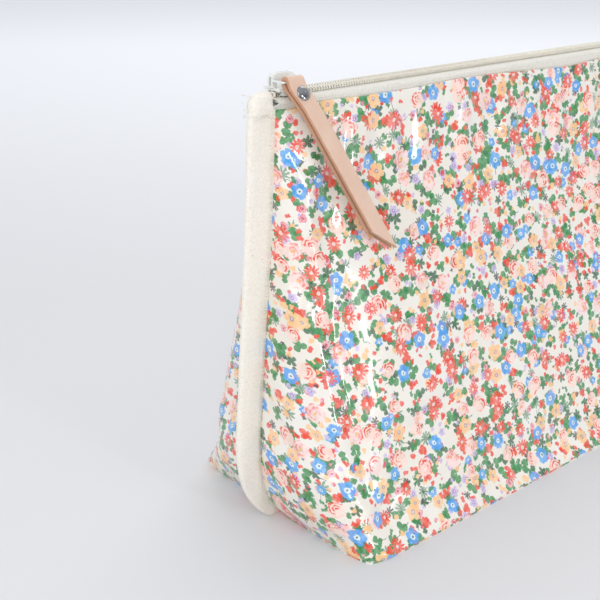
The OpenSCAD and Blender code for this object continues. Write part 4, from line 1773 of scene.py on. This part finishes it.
@dataclass
class Studio:
    """Pale floor, soft light and the camera.

    Attributes:
        camera_at: Place of the camera in mm.
        azimuth: Direction it looks in, in degrees from +Y, turned to the left when negative.
        look_down: Angle below level that it looks down.
        lens: Focal length for a 36 mm wide sensor.
    """

    camera_at: tuple[float, float, float] = (-406.76, -336.92, 275.42)
    azimuth: float = -40.5
    look_down: float = 21.2
    lens: float = 63.6

    def camera(self) -> None:
        """Makes the camera."""
        data = bpy.data.cameras.new("camera")
        data.lens = self.lens
        data.sensor_width = 36
        data.clip_start = 0.01
        data.clip_end = 50
        camera = bpy.data.objects.new("camera", data)
        camera.location = Vector(self.camera_at) * MM
        camera.rotation_euler = (math.radians(90 - self.look_down), 0, math.radians(self.azimuth))
        bpy.context.scene.collection.objects.link(camera)
        bpy.context.scene.camera = camera

    def lamp(self, name: str, at: tuple[float, float, float], size: tuple[float, float],
             power: float, colour: str) -> None:
        """Makes a soft rectangular light that points at the bag."""
        data = bpy.data.lights.new(name, "AREA")
        data.shape = "RECTANGLE"
        data.size, data.size_y = size
        data.energy = power
        data.color = linear(colour)[:3]
        lamp = bpy.data.objects.new(name, data)
        lamp.location = at
        aim = Vector((0, 0, 0.09)) - Vector(at)
        lamp.rotation_euler = aim.to_track_quat("-Z", "Y").to_euler()
        bpy.context.scene.collection.objects.link(lamp)

    def floor(self) -> None:
        """Makes the flat floor, wide enough to fill the view behind the bag."""
        maker = Maker()
        side = np.linspace(-4000, 4000, 9)
        maker.grid(np.stack(np.meshgrid(side, side, [0.0], indexing="ij"), -1)[:, :, 0])
        floor = maker.build("floor", [PaleBoard().material()])

    def build(self) -> None:
        """Makes floor, lights and world."""
        self.floor()
        self.lamp("window", (-0.05, -1.25, 0.50), (0.13, 0.18), 2.2, "#FFFFFF")
        self.lamp("low_window", (0.30, -1.15, 0.15), (0.10, 0.13), 1.3, "#FFFFFF")
        self.lamp("front_panel", (-1.5, -0.9, 1.1), (1.6, 1.4), 15.0, "#FFFDFA")
        self.lamp("sky_panel", (0.9, 0.7, 1.5), (1.6, 1.6), 9.0, "#FDFDFF")
        world = bpy.data.worlds.new("pale_room")
        world.use_nodes = True
        tree = world.node_tree
        back = tree.nodes["Background"]
        # the room is pale behind and above the bag, and darker where the camera stands
        way = add_node(tree, "ShaderNodeSeparateXYZ", None, {
            0: add_node(tree, "ShaderNodeTexCoord").outputs["Generated"]})
        front = (Signal(tree, way.outputs[1]) * -1.0).between(0.1, 0.8)
        low = Signal(tree, way.outputs[2]).between(0.75, 0.25)
        room = add_node(tree, "ShaderNodeMix", {"data_type": "RGBA"}, {
            0: front * low, 6: linear("#F4F6FA"), 7: linear("#A9ACB1")})
        tree.links.new(room.outputs[2], back.inputs["Color"])
        back.inputs["Strength"].default_value = 0.84
        bpy.context.scene.world = world
        bpy.context.scene.view_settings.view_transform = "Standard"


def main() -> None:
    """Builds the whole scene, one sub-assembly after another."""
    logging.basicConfig(level=logging.INFO, format="%(name)s: %(message)s")
    studio = Studio()
    studio.camera()
    form = BagForm.from_frame()
    finishes = Finishes()
    Walls(form, finishes).build()
    Base(form, finishes).build()
    for end in End:
        BoundSeam(form, finishes, end).build()
    ZipChain(form, finishes).build()
    SliderParts(finishes).build()
    LeatherPull(finishes).build()
    studio.build()


if __name__ == "__main__":
    main()
